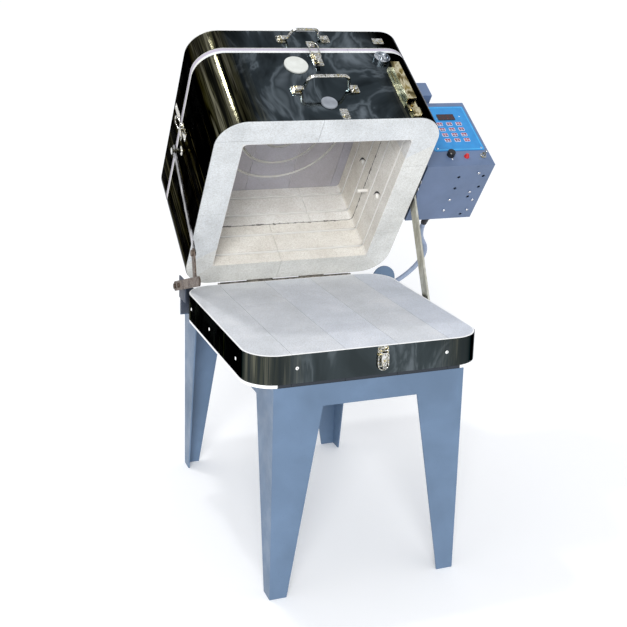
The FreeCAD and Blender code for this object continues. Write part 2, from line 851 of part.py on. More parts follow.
def latch_strike(height, hook):
    plate = box(-9, 9, -latch_plate, 0, 0, height)
    plate = plate.makeFillet(3, edges_along(plate, Y_AXIS))
    ledge = box(-hook_half, hook_half, -hook_ledge_out, -latch_plate, hook - 3, hook)
    lip = box(-hook_half, hook_half, -hook_ledge_out - hook_lip, -hook_ledge_out, hook - 3, hook + 4)
    screws = [rod((0, -latch_plate, z), V(0, -1, 0), 2.4, 1.0) for z in (4, height - 4)]
    return fuse([plate, ledge, lip] + screws)


shapes["base_latch_plate"] = on_front(latch_base(), base_latch_x, base_latch_z)
shapes["base_latch_lever"] = on_front(latch_lever(), base_latch_x, base_latch_z)
shapes["base_latch_loop"] = on_front(latch_loop(base_loop_length, 180), base_latch_x, base_latch_z)
strike_foot = rim_z + rim_lip + 0.2
base_hook = base_latch_z + loop_rise + base_loop_length - latch_wire - hook_slack
shapes["body_strike"] = opened(on_front(latch_strike(31, base_hook - strike_foot), base_latch_x, strike_foot))

lid_latch_z = base_top + lid_latch_height
loop_lean = math.degrees(
    math.asin((hook_ledge_out + hook_lip + fit_gap + latch_wire - loop_out) / lid_loop_length)
)
shapes["latch_plates"] = opened(
    group([
        on_front(latch_base(), lid_latch_x, lid_latch_z),
        on_left(latch_base(), side_latch_y, lid_latch_z),
    ])
)
shapes["lid_latch_lever"] = opened(on_front(latch_lever(), lid_latch_x, lid_latch_z))
shapes["side_latch_lever"] = opened(on_left(latch_lever(), side_latch_y, lid_latch_z))
shapes["lid_latch_loop"] = opened(on_front(latch_loop(lid_loop_length, loop_lean), lid_latch_x, lid_latch_z))
shapes["side_latch_loop"] = opened(on_left(latch_loop(lid_loop_length, loop_lean), side_latch_y, lid_latch_z))
lid_strike_foot = lid_band_bottom + 0.5
lid_hook = lid_latch_z + loop_rise + lid_loop_length - latch_wire - hook_slack - lid_strike_foot
interlock_x = 179.0
striker_plate = on_front(box(-13, 13, -2, 0, 0, 19), interlock_x, lid_strike_foot + 11)
shapes["lid_strikes"] = opened(
    group(
        [
            on_front(latch_strike(20, lid_hook), lid_latch_x, lid_strike_foot),
            on_left(latch_strike(46, lid_hook), side_latch_y, lid_strike_foot),
            striker_plate,
        ]
    )
)

# Lid interlock on the front of the body: a channel that guards its push rod, and the round switch


def interlock():
    channel = box(-10.5, 10.5, -14, 0, 50, 172)
    channel = channel.cut(box(-9, 9, -12.5, 0.5, 49, 173))
    foot = fuse([box(-11, 11, -2, 0, 28, 50), rod((0, 0, 28), V(0, -1, 0), 11, 2)])
    hold = rod((0, -2, 40), V(0, -1, 0), 4, 3)
    low = box(-9, 9, -9, 0, 6, 26)
    return [channel, fuse([foot, hold]), low]


switch_ring = rod((167, -half_depth, rim_z + 196), V(0, -1, 0), 18.5, 8)
switch_ring = switch_ring.cut(rod((167, -half_depth - 5, rim_z + 196), V(0, -1, 0), 14, 4))
switch_dot = rod((167, -half_depth - 5, rim_z + 196), V(0, -1, 0), 5, 4)
shapes["interlock"] = opened(
    group([on_front(p, 187, rim_z) for p in interlock()] + [fuse([switch_ring, switch_dot])])
)

# Handles: a bent rod between two foot plates


def bow_handle(feet, height, rise, radius):
    z = base_top + height
    y = -half_depth
    pieces = []
    for x, inward in zip(feet, (1, -1)):
        plate = box(x - handle_foot / 2, x + handle_foot / 2, y - handle_foot_thickness, y, z - 11, z + 11)
        pieces.append(plate.makeFillet(3, edges_along(plate, Y_AXIS)))
        lug = box(x - 5, x + 5, y - radius - 6, y - handle_foot_thickness, z - 6, z + 6)
        pieces.append(lug.makeFillet(2.5, edges_along(lug, X_AXIS)))
        end = rod((x, y - radius - 3, z), V(inward, 0, 0), radius + 1.6, 15)
        pieces.append(end)
        for dz in (-8.2, 8.2):
            pieces.append(rod((x - inward * 6, y - handle_foot_thickness, z + dz), V(0, -1, 0), 2.3, 1.2))
    low = y - radius - 3
    high = y - rise
    left, right = feet
    points = [
        V(left + 6, low, z), V(left + 15, low, z), V(left + 24, high, z),
        V(right - 24, high, z), V(right - 15, low, z), V(right - 6, low, z),
    ]
    bends = [radius * 1.6, radius * 4, radius * 4, radius * 1.6]
    pieces.append(bent_rod(points, radius, bends))
    return fuse(pieces)


shapes["body_handle"] = opened(
    bow_handle(body_handle_x, body_handle_height, body_handle_rise, body_handle_rod)
)
shapes["lid_handle"] = opened(bow_handle(lid_handle_x, lid_handle_height, lid_handle_rise, lid_handle_rod))

# Control box on the right side of the body

box_x0 = half_width + box_gap
box_x1 = box_x0 + box_width
box_y1 = box_front + box_depth
box_z0 = base_top + box_bottom
box_z1 = box_z0 + box_height
shell = box(box_x0, box_x1, box_front, box_y1 - box_sheet, box_z0, box_z1)
shell = shell.cut(
    box(
        box_x0 + box_sheet, box_x1 - box_sheet, box_front + box_sheet, box_y1,
        box_z0 + box_sheet, box_z1 - box_sheet,
    )
)
for x, y in floor_holes:
    shell = shell.cut(rod((box_x0 + x, box_front + y, box_z0 - 1), Z_AXIS, 4.0, 4))
control_z = box_z0 + control_height
knob_place = (box_x0 + knob_x, control_z + knob_rise)
for x, z, radius in ((knob_place[0], knob_place[1], 3.4), (box_x0 + lamp_x, control_z, 5.2),
                     (box_x0 + toggle_x, control_z, 5.2)):
    shell = shell.cut(rod((x, box_front - 1, z), Y_AXIS, radius, 4))
shell_parts = [shell]
for x, y in floor_screws:
    shell_parts.append(rod((box_x0 + x, box_front + y, box_z0 - 1.6), Z_AXIS, 3.2, 1.8))
for y in (-60, 74):
    for z in (box_z0 + 45, box_z0 + 190):
        shell_parts.append(rod((half_width, y, z), X_AXIS, standoff_radius, box_gap + 0.5))
shapes["control_box"] = opened(fuse(shell_parts))
back = box(box_x0, box_x1, box_y1 - box_sheet, box_y1, box_z0, box_z1)
back_screws = []
for x in (box_x0 + 12, box_x1 - 12):
    for z in (box_z0 + 40, box_z1 - 12):
        back_screws.append(rod((x, box_y1, z), Y_AXIS, 3.2, 1.8))
shapes["control_box_back"] = opened(fuse([back] + back_screws))

plate_x0 = box_x0 + panel_left
plate_z0 = box_z0 + panel_bottom
key_face = box_front - panel_thickness
plate = box(plate_x0, plate_x0 + panel_width, key_face, box_front, plate_z0, plate_z0 + panel_height)
plate = plate.makeFillet(5, edges_along(plate, Y_AXIS))
plate_screws = [rod((x, key_face, z), V(0, -1, 0), 2.6, 1.0)
                for x, z in ((plate_x0 + 10, plate_z0 + 7), (plate_x0 + panel_width - 8, plate_z0 + 6))]
shapes["keypad_plate"] = opened(fuse([plate] + plate_screws))
keys = []
for row in range(key_rows):
    for column in range(key_columns):
        x = plate_x0 + key_left + column * key_pitch_x
        z = plate_z0 + key_top - row * key_pitch_z
        key = box(
            x - key_width / 2, x + key_width / 2, key_face - 0.8, key_face,
            z - key_height / 2, z + key_height / 2,
        )
        keys.append(key.makeFillet(2, edges_along(key, Y_AXIS)))
shapes["keypad_keys"] = opened(group(keys))
window_x0 = plate_x0 + display_left
window_z0 = plate_z0 + display_rise
window = box(
    window_x0, window_x0 + display_width, key_face - 1.5, key_face, window_z0, window_z0 + display_height
)
shapes["display_window"] = opened(window.makeFillet(2, edges_along(window, Y_AXIS)))

knob = rod((knob_place[0], box_front - 0.6, knob_place[1]), V(0, -1, 0), knob_radius, 13)
knob = knob.makeChamfer(1.5, [e for e in knob.Edges if abs(e.CenterOfMass.y - box_front + 13.6) < 0.01])
pointer = box(
    knob_place[0] - 0.9, knob_place[0] + 0.9, box_front - 14.2, box_front - 13.4,
    knob_place[1] - 8, knob_place[1] + 1,
)
shaft = rod((knob_place[0], box_front - 1, knob_place[1]), Y_AXIS, 3.0, 12)
shapes["selector_knob"] = opened(fuse([knob, pointer, shaft]))
lamp_place = (box_x0 + lamp_x, box_front, control_z)
lamp = fuse([
    rod(lamp_place, V(0, -1, 0), lamp_radius, 2),
    cone((lamp_place[0], box_front - 2, control_z), V(0, -1, 0), lamp_radius - 0.6, lamp_radius - 2.5, 6),
    rod((lamp_place[0], box_front - 1, control_z), Y_AXIS, 5.0, 22),
])
shapes["pilot_lamp"] = opened(lamp)
toggle_place = V(box_x0 + toggle_x, box_front, control_z)
toggle_body = fuse([
    rod(toggle_place, V(0, -1, 0), 7.5, 2.4),
    rod((toggle_place.x, box_front - 9, control_z), Y_AXIS, 5.0, 14),
    box(
        toggle_place.x - 7, toggle_place.x + 7, box_front + 4, box_front + 26, control_z - 14, control_z + 14
    ),
])
toggle_body = toggle_body.cut(cone((toggle_place.x, box_front - 10, control_z), Y_AXIS, 4.4, 1.7, 9))
toggle_body = toggle_body.cut(Part.makeSphere(2.6, V(toggle_place.x, box_front + 0.5, control_z)))
shapes["toggle_switch"] = opened(toggle_body)
toggle_tilt = 20.0
toggle_lever = fuse([
    Part.makeSphere(2.3, V(0, 0, 0)),
    cone((0, 0, 0), V(0, -1, 0), 1.3, 2.5, 20),
    Part.makeSphere(2.6, V(0, -20, 0)),
])
toggle_lever.rotate(V(0, 0, 0), X_AXIS, toggle_tilt / 2)
toggle_lever.translate(V(toggle_place.x, box_front + 0.5, control_z))
shapes["toggle_lever"] = opened(toggle_lever)

board_y = box_front + 34
board = box(box_x0 + 26, box_x0 + 150, board_y, board_y + 2, box_z0 + 60, box_z1 - 16)
board_parts = [board]
for x in (box_x0 + 32, box_x0 + 144):
    for z in (box_z0 + 66, box_z1 - 22):
        board_parts.append(rod((x, box_front + box_sheet, z), Y_AXIS, 3, board_y - box_front - box_sheet))
for i in range(3):
    x = box_x0 + 36 + i * 36
    board_parts.append(box(x, x + 28, board_y + 2, board_y + 34, box_z0 + 70, box_z0 + 98))
board_parts.append(box(box_x0 + 44, box_x0 + 92, board_y + 2, board_y + 42, box_z0 + 124, box_z0 + 168))
board_parts.append(box(box_x0 + 102, box_x0 + 140, board_y + 2, board_y + 16, box_z0 + 120, box_z0 + 182))
shapes["control_board"] = opened(fuse(board_parts))

gland_x = box_x0 + gland_left
gland_z = box_z0 + gland_rise
gland = fuse([
    rod((gland_x, box_y1, gland_z), Y_AXIS, gland_radius + 1.5, 5),
    cone((gland_x, box_y1 + 5, gland_z), Y_AXIS, gland_radius - 1, gland_tip_radius, gland_length - 5),
])
shapes["cord_gland"] = opened(gland)

terminal_x1 = half_width + terminal_width
terminal = box(half_width, terminal_x1, -105, -20, base_top + 243, base_top + 290)
terminal_screws = [
    rod((terminal_x1, y, base_top + z), X_AXIS, 2.8, 1.4) for y, z in ((-97, 251), (-28, 282))
]
terminal = terminal.cut(
    box(half_width + 3, terminal_x1 - box_sheet, -103.5, -21.5, base_top + 244.5, base_top + 288.5)
)
shapes["lid_terminal_box"] = opened(fuse([terminal] + terminal_screws))

# Power cord: straight runs and tangent arcs from the gland to the coil on the deck

cord_radius = cord_diameter / 2
cord_start = opened_point(gland_x, box_y1 + gland_length, gland_z)
cord_way = opened_point(gland_x, box_y1 + gland_length + 42, gland_z) - cord_start
layer_low = deck_top + cord_radius + fit_gap
layer_high = layer_low + cord_diameter
coil_front = coil_y - coil_mean_radius - cord_radius
cord_points = [
    cord_start,
    cord_start + cord_way,
    V(383, 274, 568),
    V(360, 298, 505),
    V(292, 290, 472),
    V(232, coil_front, layer_low),
    V(190, coil_front, layer_low),
]
bends = cord_bends(cord_points)
print("cord bend radii", [round(r, 1) for r in bends])
cord = bent_rod(cord_points, cord_radius, bends)
cord_length = bent_path(cord_points, bends).Length
print("cord volume", round(cord.Volume), "section by length", round(math.pi * cord_radius ** 2 * cord_length))
print("cord length", round(cord_length), "coil", round(3 * 2 * math.pi * coil_mean_radius))
shapes["power_cord"] = cord

coil_outer = coil_mean_radius + cord_diameter + 0.6
coil_height = 2 * cord_diameter + 3 * fit_gap
coil_inner = coil_mean_radius - cord_diameter
coil = rod((coil_x, coil_y, deck_top), Z_AXIS, coil_outer, coil_height)
coil = coil.cut(rod((coil_x, coil_y, deck_top), Z_AXIS, coil_inner, coil_height))
coil = coil.makeFillet(4, [e for e in coil.Edges if isinstance(e.Curve, Part.Circle)])
coil_leave = math.radians(coil_leave_angle)
leave_way = V(-math.cos(coil_leave), math.sin(coil_leave), 0)
leave_radius = coil_mean_radius + cord_radius
leave_point = V(
    coil_x - leave_radius * math.sin(coil_leave), coil_y - leave_radius * math.cos(coil_leave), layer_high
)
coil_ends = [
    rod((coil_x, coil_front, layer_low), X_AXIS, cord_radius, 190 - coil_x),
    rod(tuple(leave_point), leave_way, cord_radius, coil_tail),
]
shapes["cord_coil"] = fuse([coil] + coil_ends)
plug_parts = [
    cone((0, 0, 0), V(-1, 0, 0), 8.0, 13.0, 14),
    rod((-14, 0, 0), V(-1, 0, 0), plug_body_radius, 32),
    rod((-45, 0, -7), V(-1, 0, 0), 2.4, 21),
]
for y in (-6, 6):
    plug_parts.append(box(-64, -45, y - 0.8, y + 0.8, -0.5, 6))
plug = fuse(plug_parts)
plug.rotate(V(0, 0, 0), Z_AXIS, -coil_leave_angle)
plug.translate(leave_point + leave_way * coil_tail)
shapes["cord_plug"] = plug

os.makedirs("parts", exist_ok=True)
for name, shape in shapes.items():
    shape.exportStep("parts/" + name + ".step")
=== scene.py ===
import bmesh
import bpy
import math
from mathutils import Matrix, Vector


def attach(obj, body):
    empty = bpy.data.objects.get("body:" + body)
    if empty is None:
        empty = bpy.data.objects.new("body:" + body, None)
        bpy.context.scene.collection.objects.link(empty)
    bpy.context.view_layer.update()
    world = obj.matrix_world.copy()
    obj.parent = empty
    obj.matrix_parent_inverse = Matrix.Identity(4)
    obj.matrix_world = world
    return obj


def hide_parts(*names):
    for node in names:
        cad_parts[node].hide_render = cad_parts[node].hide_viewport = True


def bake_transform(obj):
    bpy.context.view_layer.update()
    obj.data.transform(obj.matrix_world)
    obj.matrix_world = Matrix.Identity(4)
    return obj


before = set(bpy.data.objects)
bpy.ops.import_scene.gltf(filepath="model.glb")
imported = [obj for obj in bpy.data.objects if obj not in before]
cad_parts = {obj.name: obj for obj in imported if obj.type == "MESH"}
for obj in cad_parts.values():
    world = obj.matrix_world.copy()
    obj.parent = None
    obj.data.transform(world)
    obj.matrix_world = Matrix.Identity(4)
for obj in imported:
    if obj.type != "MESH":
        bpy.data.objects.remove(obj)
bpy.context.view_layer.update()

# The kiln's sizes in millimetres, as the solids have them
PIN_Y = 262.5
PIN_Z = 521.0
OPEN_ANGLE = 54.64
RIM = 523.8
INNER = 194.0
DECK_TOP = 456.0
BOX_LEFT = 275.5
BOX_BOTTOM = 543.0

# Heights in the shut kiln in metres: the joint of the two brick courses, the start of the cooler band along
# their top, and the lid's brick face. The lid's grooves end within LID_GROOVE above that face.
COURSE = 0.6413
CROWN = 0.7508
LID_FACE = 0.7596
LID_GROOVE = 0.0105

# Places on the brick in metres from its middle: where the inner face ends, how far out the grooves of the walls
# and of the lid lie, and the middle of the floor slab's round corners and the band of painted highlight along
# its edge
INNER_EDGE = (0.1946, 0.1952)
GROOVE_START = 0.1955
WALL_GROOVE_END = 0.2095
LID_GROOVE_END = 0.17
SLAB_CORNER = 0.1915
EDGE_HIGHLIGHT = (0.0608, 0.0626)
STRIP_WIDTH = 0.1143

# The front rail's shade on the floor slab: its top, the front it starts at, and its half width, in metres
SHADE_TOP = 0.4635
SHADE_FRONT = -0.25
SHADE_HALF = 0.2

# The chipped line between the courses in metres: how far it wanders, and its least and greatest half width
LINE_WANDER = 0.0035
LINE_WIDTHS = (0.0009, 0.0032)
PORES_PER_METRE = 420.0

# Heating coils in millimetres: how deep their grooves are, how far in they lie, their heights and radii. The
# wound wire itself is in metres.
GROOVE_DEPTH = 14.0
LID_GROOVE_DEPTH = 10.0
COIL_INSET = 3.1
WALL_COIL_HEIGHTS = (31.0, 86.0, 150.0, 207.0)
LID_COIL_RADII = (47.0, 101.0, 150.0)
LID_RISE = 235.0 + 0.8
COIL_SIZES = {"Coil radius": 0.0021, "Wire radius": 0.0006, "Steps": 8.0}


def place(x, y, z):
    """a point of the shut kiln, in millimetres, where it is with the kiln open, in metres"""
    turn = math.radians(OPEN_ANGLE)
    dy, dz = y - PIN_Y, z - PIN_Z
    opened_y = PIN_Y + dy * math.cos(turn) + dz * math.sin(turn)
    opened_z = PIN_Z - dy * math.sin(turn) + dz * math.cos(turn)
    return Vector((x, opened_y, opened_z)) / 1000


def still(x, y, z):
    """a point of the stand or the base, in millimetres, in metres"""
    return Vector((x, y, z)) / 1000


def way(x, y, z):
    """a direction of the shut kiln, with the kiln open"""
    return (place(x, y, z) - place(0, 0, 0)).normalized()


# Small tools for node trees

def colour(code):
    """sRGB hex to the linear values that the shader wants"""
    parts = [int(code[i:i + 2], 16) / 255 for i in (1, 3, 5)]
    return [c / 12.92 if c <= 0.04045 else ((c + 0.055) / 1.055) ** 2.4 for c in parts] + [1.0]


def node(tree, kind, inputs=None, **settings):
    """adds a node, sets its properties and its inputs, and links an input that is given a socket"""
    made = tree.nodes.new(kind)
    for name, value in settings.items():
        setattr(made, name, value)
    for name, value in (inputs or {}).items():
        socket = made.inputs[name]
        if isinstance(value, bpy.types.NodeSocket):
            tree.links.new(value, socket)
        else:
            socket.default_value = value
    return made


def maths(tree, operation, first, second=0.0):
    return node(tree, "ShaderNodeMath", {0: first, 1: second}, operation=operation).outputs[0]


def ramp(tree, factor, stops):
    """colour ramp with stops of place and hex colour"""
    made = node(tree, "ShaderNodeValToRGB", {"Fac": factor})
    elements = made.color_ramp.elements
    while len(elements) < len(stops):
        elements.new(0.5)
    for element, (where, code) in zip(elements, stops):
        element.position = where
        element.color = colour(code)
    return made.outputs["Color"]


def spread(tree, value, low, high, start=0.0, end=1.0):
    """maps a value between low and high to start and end, and holds it outside them"""
    made = node(tree, "ShaderNodeMapRange", {
        "Value": value, "From Min": low, "From Max": high, "To Min": start, "To Max": end},
        interpolation_type="SMOOTHSTEP")
    return made.outputs["Result"]


def blend(tree, factor, first, second, kind="MIX"):
    given = {"Factor": factor, "A": first, "B": second}
    made = node(tree, "ShaderNodeMix", given, data_type="RGBA", blend_type=kind)
    return made.outputs["Result"]


def new_material(name, **shader):
    """empty node material, its shader and the piece's own coordinates"""
    material = bpy.data.materials.new(name)
    material.use_nodes = True
    tree = material.node_tree
    bsdf = tree.nodes["Principled BSDF"]
    for socket, value in shader.items():
        bsdf.inputs[socket.replace("_", " ")].default_value = value
    at = node(tree, "ShaderNodeTexCoord").outputs["Object"]
    return material, tree, bsdf, at


def body_coordinates(tree, at):
    """turns the coordinates back to those of the shut kiln, so that a pattern lies square to the body"""
    moved = node(tree, "ShaderNodeMapping", {"Vector": at, "Location": (0, -PIN_Y / 1000, -PIN_Z / 1000)})
    turned = node(tree, "ShaderNodeMapping", {
        "Vector": moved.outputs["Vector"], "Rotation": (math.radians(OPEN_ANGLE), 0, 0),
        "Location": (0, PIN_Y / 1000, PIN_Z / 1000)})
    return turned.outputs["Vector"]


def noise(tree, at, size_mm, detail=3.0, roughness=0.5, distortion=0.0, stretch=None):
    """noise whose blobs are about size_mm across"""
    where = at
    if stretch:
        where = node(tree, "ShaderNodeMapping", {"Vector": at, "Scale": stretch}).outputs["Vector"]
    return node(tree, "ShaderNodeTexNoise", {
        "Vector": where, "Scale": 1000 / size_mm, "Detail": detail, "Roughness": roughness,
        "Distortion": distortion}).outputs["Fac"]


def bump(tree, bsdf, height, depth_mm, strength=1.0):
    made = node(tree, "ShaderNodeBump", {"Height": height, "Distance": depth_mm / 1000, "Strength": strength})
    tree.links.new(made.outputs["Normal"], bsdf.inputs["Normal"])


# Materials

def mirror_steel(name, tilted, dark_reflection_low, dark_reflection_high, dark_reflection_colour):
    # Mirror-polished stainless sheet whose colour is painted reflection of a dark room: nearly black, with grey
    # swirls painted on the flats, and straw and olive streaks painted down the sheet where it is rolled round
    # the corners
    tint = colour("#8e8e8e")
    material, tree, bsdf, at = new_material(name, Metallic=1.0, Roughness=0.08, Specular_Tint=tint)
    where = body_coordinates(tree, at) if tilted else at
    axes = node(tree, "ShaderNodeSeparateXYZ", {"Vector": where}).outputs
    swirl = noise(tree, where, 190, 4, 0.55, 1.9, (1.0, 1.0, 0.7))
    flats = ramp(tree, swirl, [
        (0.34, "#2b3134"), (0.47, "#40484c"), (0.52, "#6d767b"),
        (0.56, "#434b4f"), (0.68, "#838c92"), (0.8, "#485055")])
    streak = noise(tree, where, 15, 3, 0.65, 0.0, (1.0, 1.0, 0.03))
    broad = noise(tree, where, 46, 2, 0.5, 0.0, (1.0, 1.0, 0.05))
    lines = ramp(tree, streak, [
        (0.34, "#070808"), (0.44, "#1b1c17"), (0.51, "#57553d"),
        (0.55, "#141512"), (0.63, "#8a8770"), (0.7, "#101110")])
    shade = ramp(tree, broad, [(0.4, "#3a3a37"), (0.6, "#ffffff")])
    lines = blend(tree, 1.0, lines, shade, "MULTIPLY")
    side = spread(tree, maths(tree, "ABSOLUTE", axes["X"]), 0.125, 0.2)
    mixed = blend(tree, side, flats, lines)
    # broad dark patches laid over it: painted reflection of dark surroundings
    dark_reflection_cloud = noise(tree, where, 420, 2, 0.5, 0.6)
    mixed = blend(tree, spread(tree, dark_reflection_cloud, 0.45, 0.7, dark_reflection_low, dark_reflection_high), mixed, colour(dark_reflection_colour))
    tree.links.new(mixed, bsdf.inputs["Base Color"])
    smear = noise(tree, where, 60, 4, 0.6, 0.8)
    tree.links.new(spread(tree, smear, 0.3, 0.7, 0.05, 0.17), bsdf.inputs["Roughness"])
    wave = noise(tree, where, 170, 2, 0.4)
    bump(tree, bsdf, wave, 1.6, 0.5)
    return material


def firebrick(name, tilted, strips, rim, inside, casts):
    # Insulating firebrick, sawn: chalky and matt, with open pores, soft smudges and each brick its own cast
    # of cream or blue-white. The pores are drawn at 2.4 mm, coarser than the real ones, so that they show. On
    # the walls a dark chipped line runs where the two courses meet.
    material, tree, bsdf, at = new_material(name, Roughness=0.95)
    where = body_coordinates(tree, at) if tilted else at
    axes = node(tree, "ShaderNodeSeparateXYZ", {"Vector": where}).outputs
    cloud = noise(tree, where, 60, 5, 0.62)
    # lit and shaded tones of one brick: the cooler, darker outer faces are painted shade, the warmer, brighter
    # inside of the walls painted light
    outer = ramp(tree, cloud, [(0.3, rim[0]), (0.5, rim[1]), (0.72, rim[2])])
    inner = ramp(tree, cloud, [(0.3, inside[0]), (0.5, inside[1]), (0.72, inside[2])])
    across = maths(tree, "ABSOLUTE", axes["X"])
    along = maths(tree, "ABSOLUTE", axes["Y"])
    reach = maths(tree, "MAXIMUM", across, along)
    far_side = maths(tree, "GREATER_THAN", axes["Z"], LID_FACE + LID_GROOVE)
    outside = maths(tree, "MAXIMUM", spread(tree, reach, *INNER_EDGE), far_side)
    shade = blend(tree, outside, inner, outer)
    if strips:
        index = maths(tree, "FLOOR", maths(tree, "ADD", maths(tree, "DIVIDE", axes["X"], STRIP_WIDTH), 0.5))
    else:
        upper = spread(tree, axes["Z"], COURSE - 0.0001, COURSE + 0.0001)
        wall = maths(tree, "GREATER_THAN", across, along)
        shift = maths(tree, "MULTIPLY", maths(tree, "ADD", upper, maths(tree, "MULTIPLY", wall, 2.0)), 3.7)
        slant = maths(tree, "ADD", axes["Y"], maths(tree, "MULTIPLY", axes["X"], 0.7))
        spot = maths(tree, "ADD", maths(tree, "SIGN", slant), shift)
        index = maths(tree, "ADD", spot, 4.3)
    pick = node(tree, "ShaderNodeTexWhiteNoise", {"W": index}, noise_dimensions="1D").outputs["Value"]
    cast = ramp(tree, pick, [(0.0, casts[0]), (0.5, "#ffffff"), (1.0, casts[1])])
    shade = blend(tree, 1.0, shade, cast, "MULTIPLY")
    smudge = noise(tree, where, 32, 5, 0.7, 0.6)
    shade = blend(tree, spread(tree, smudge, 0.6, 0.78, 0.0, 0.4), shade, colour("#b9b6b0"))
    # the pores are painted darker: painted shade in their hollows
    pores = node(tree, "ShaderNodeTexVoronoi", {"Vector": where, "Scale": PORES_PER_METRE, "Randomness": 1.0})
    hole = spread(tree, pores.outputs["Distance"], 0.08, 0.26)
    shade = blend(tree, hole, colour("#aaa59d"), shade)
    grit = noise(tree, where, 2.6, 2, 0.6)
    shade = blend(tree, 1.0, shade, ramp(tree, grit, [(0.36, "#eceae7"), (0.6, "#ffffff")]), "MULTIPLY")
    if strips and not tilted:
        # the painted highlight along the slab's outer edge, and the shade under the band where the front rail
        # stands before it
        past = [maths(tree, "SUBTRACT", side, SLAB_CORNER) for side in (across, along)]
        over = [maths(tree, "MAXIMUM", length, 0.0) for length in past]
        squares = [maths(tree, "POWER", length, 2.0) for length in over]
        corner = maths(tree, "SQRT", maths(tree, "ADD", squares[0], squares[1]))
        shade = blend(tree, spread(tree, corner, *EDGE_HIGHLIGHT, 0.0, 0.9), shade, colour("#fbfbfa"))
        low = maths(tree, "LESS_THAN", axes["Z"], SHADE_TOP)
        ahead = maths(tree, "LESS_THAN", axes["Y"], SHADE_FRONT)
        front = maths(tree, "MULTIPLY", ahead, maths(tree, "LESS_THAN", across, SHADE_HALF))
        shade = blend(tree, maths(tree, "MULTIPLY", low, front), shade, colour("#2a2f36"))
    if tilted:
        # the grooves' surface painted brighter than the face round them: painted light where the grooves would
        # be in shade
        depth = LID_FACE + 0.0006 if strips else GROOVE_START
        inward = axes["Z"] if strips else reach
        hollow = maths(tree, "GREATER_THAN", inward, depth)
        limit = maths(tree, "LESS_THAN", reach, LID_GROOVE_END if strips else WALL_GROOVE_END)
        clear = maths(tree, "LESS_THAN", axes["Z"], LID_FACE + LID_GROOVE if strips else CROWN)
        above = maths(tree, "GREATER_THAN", axes["Z"], RIM / 1000 + 0.004)
        sideways = maths(tree, "MULTIPLY", hollow, limit)
        groove_light = maths(tree, "MULTIPLY", sideways, maths(tree, "MULTIPLY", clear, above))
        shade = blend(tree, groove_light, shade, colour("#fdfcf8"))
    if tilted and not strips:
        centred = maths(tree, "SUBTRACT", noise(tree, where, 24, 4, 0.7), 0.5)
        wander = maths(tree, "MULTIPLY", centred, LINE_WANDER)
        wandered = maths(tree, "ADD", axes["Z"], wander)
        off_line = maths(tree, "ABSOLUTE", maths(tree, "SUBTRACT", wandered, COURSE))
        chip = spread(tree, noise(tree, where, 11, 3, 0.6), 0.5, 0.66, *LINE_WIDTHS)
        line = maths(tree, "LESS_THAN", off_line, chip)
        shade = blend(tree, maths(tree, "MULTIPLY", line, 0.85), shade, colour("#45403a"))
        upper_band = spread(tree, axes["Z"], CROWN, CROWN + 0.0006)
        crown = maths(tree, "MULTIPLY", upper_band, spread(tree, reach, 0.2, 0.21))
        on_side = maths(tree, "LESS_THAN", axes["Z"], CROWN + 0.0078)
        shade = blend(tree, maths(tree, "MULTIPLY", crown, on_side), shade, colour("#a9a2b0"))
    tree.links.new(shade, bsdf.inputs["Base Color"])
    rough = maths(tree, "ADD", maths(tree, "MULTIPLY", smudge, 1.2), hole)
    bump(tree, bsdf, rough, 0.6, 0.5)
    return material


def enamel(name, light, dark, rough):
    # Baked enamel on folded steel: satin, a faint orange peel, duller where hands and heat have been
    material, tree, bsdf, at = new_material(name, Roughness=rough)
    cloud = noise(tree, at, 130, 3, 0.55, 0.4)
    shade = ramp(tree, cloud, [(0.3, dark), (0.7, light)])
    speck = noise(tree, at, 3.2, 2, 0.6)
    shade = blend(tree, spread(tree, speck, 0.6, 0.72, 0.0, 0.35), shade, colour(dark))
    tree.links.new(shade, bsdf.inputs["Base Color"])
    peel = noise(tree, at, 2.2, 1, 0.4)
    smudge = noise(tree, at, 45, 4, 0.6)
    tree.links.new(spread(tree, smudge, 0.3, 0.7, rough - 0.08, rough + 0.1), bsdf.inputs["Roughness"])
    bump(tree, bsdf, peel, 0.12, 0.4)
    return material


def bare_metal(name, stops, rough, size=14, streak=(1, 1, 1)):
    # Plated or bare steel hardware: patches of tone from stamping and handling, and fine scratches. On the
    # chrome and the strut the patches run from near black to white: painted reflections
    material, tree, bsdf, at = new_material(name, Metallic=1.0, Roughness=rough)
    cloud = noise(tree, at, size, 3, 0.6, 1.0, streak)
    tree.links.new(ramp(tree, cloud, stops), bsdf.inputs["Base Color"])
    scratch = noise(tree, at, 3, 3, 0.6, 0.0, streak)
    tree.links.new(spread(tree, scratch, 0.3, 0.7, rough * 0.6, rough * 1.5), bsdf.inputs["Roughness"])
    bump(tree, bsdf, scratch, 0.05, 0.4)
    return material


def moulded(name, light, dark, rough, grain=0.8, coat=0.0):
    # Moulded plastic, rubber or fired ceramic: an even colour with a fine grain
    material, tree, bsdf, at = new_material(name, Roughness=rough)
    cloud = noise(tree, at, 16, 3, 0.5)
    tree.links.new(ramp(tree, cloud, [(0.3, dark), (0.7, light)]), bsdf.inputs["Base Color"])
    fine = noise(tree, at, grain, 2, 0.5)
    tree.links.new(spread(tree, fine, 0.3, 0.7, rough - 0.05, rough + 0.06), bsdf.inputs["Roughness"])
    bsdf.inputs["Coat Weight"].default_value = coat
    bump(tree, bsdf, fine, 0.04, 0.4)
    return material


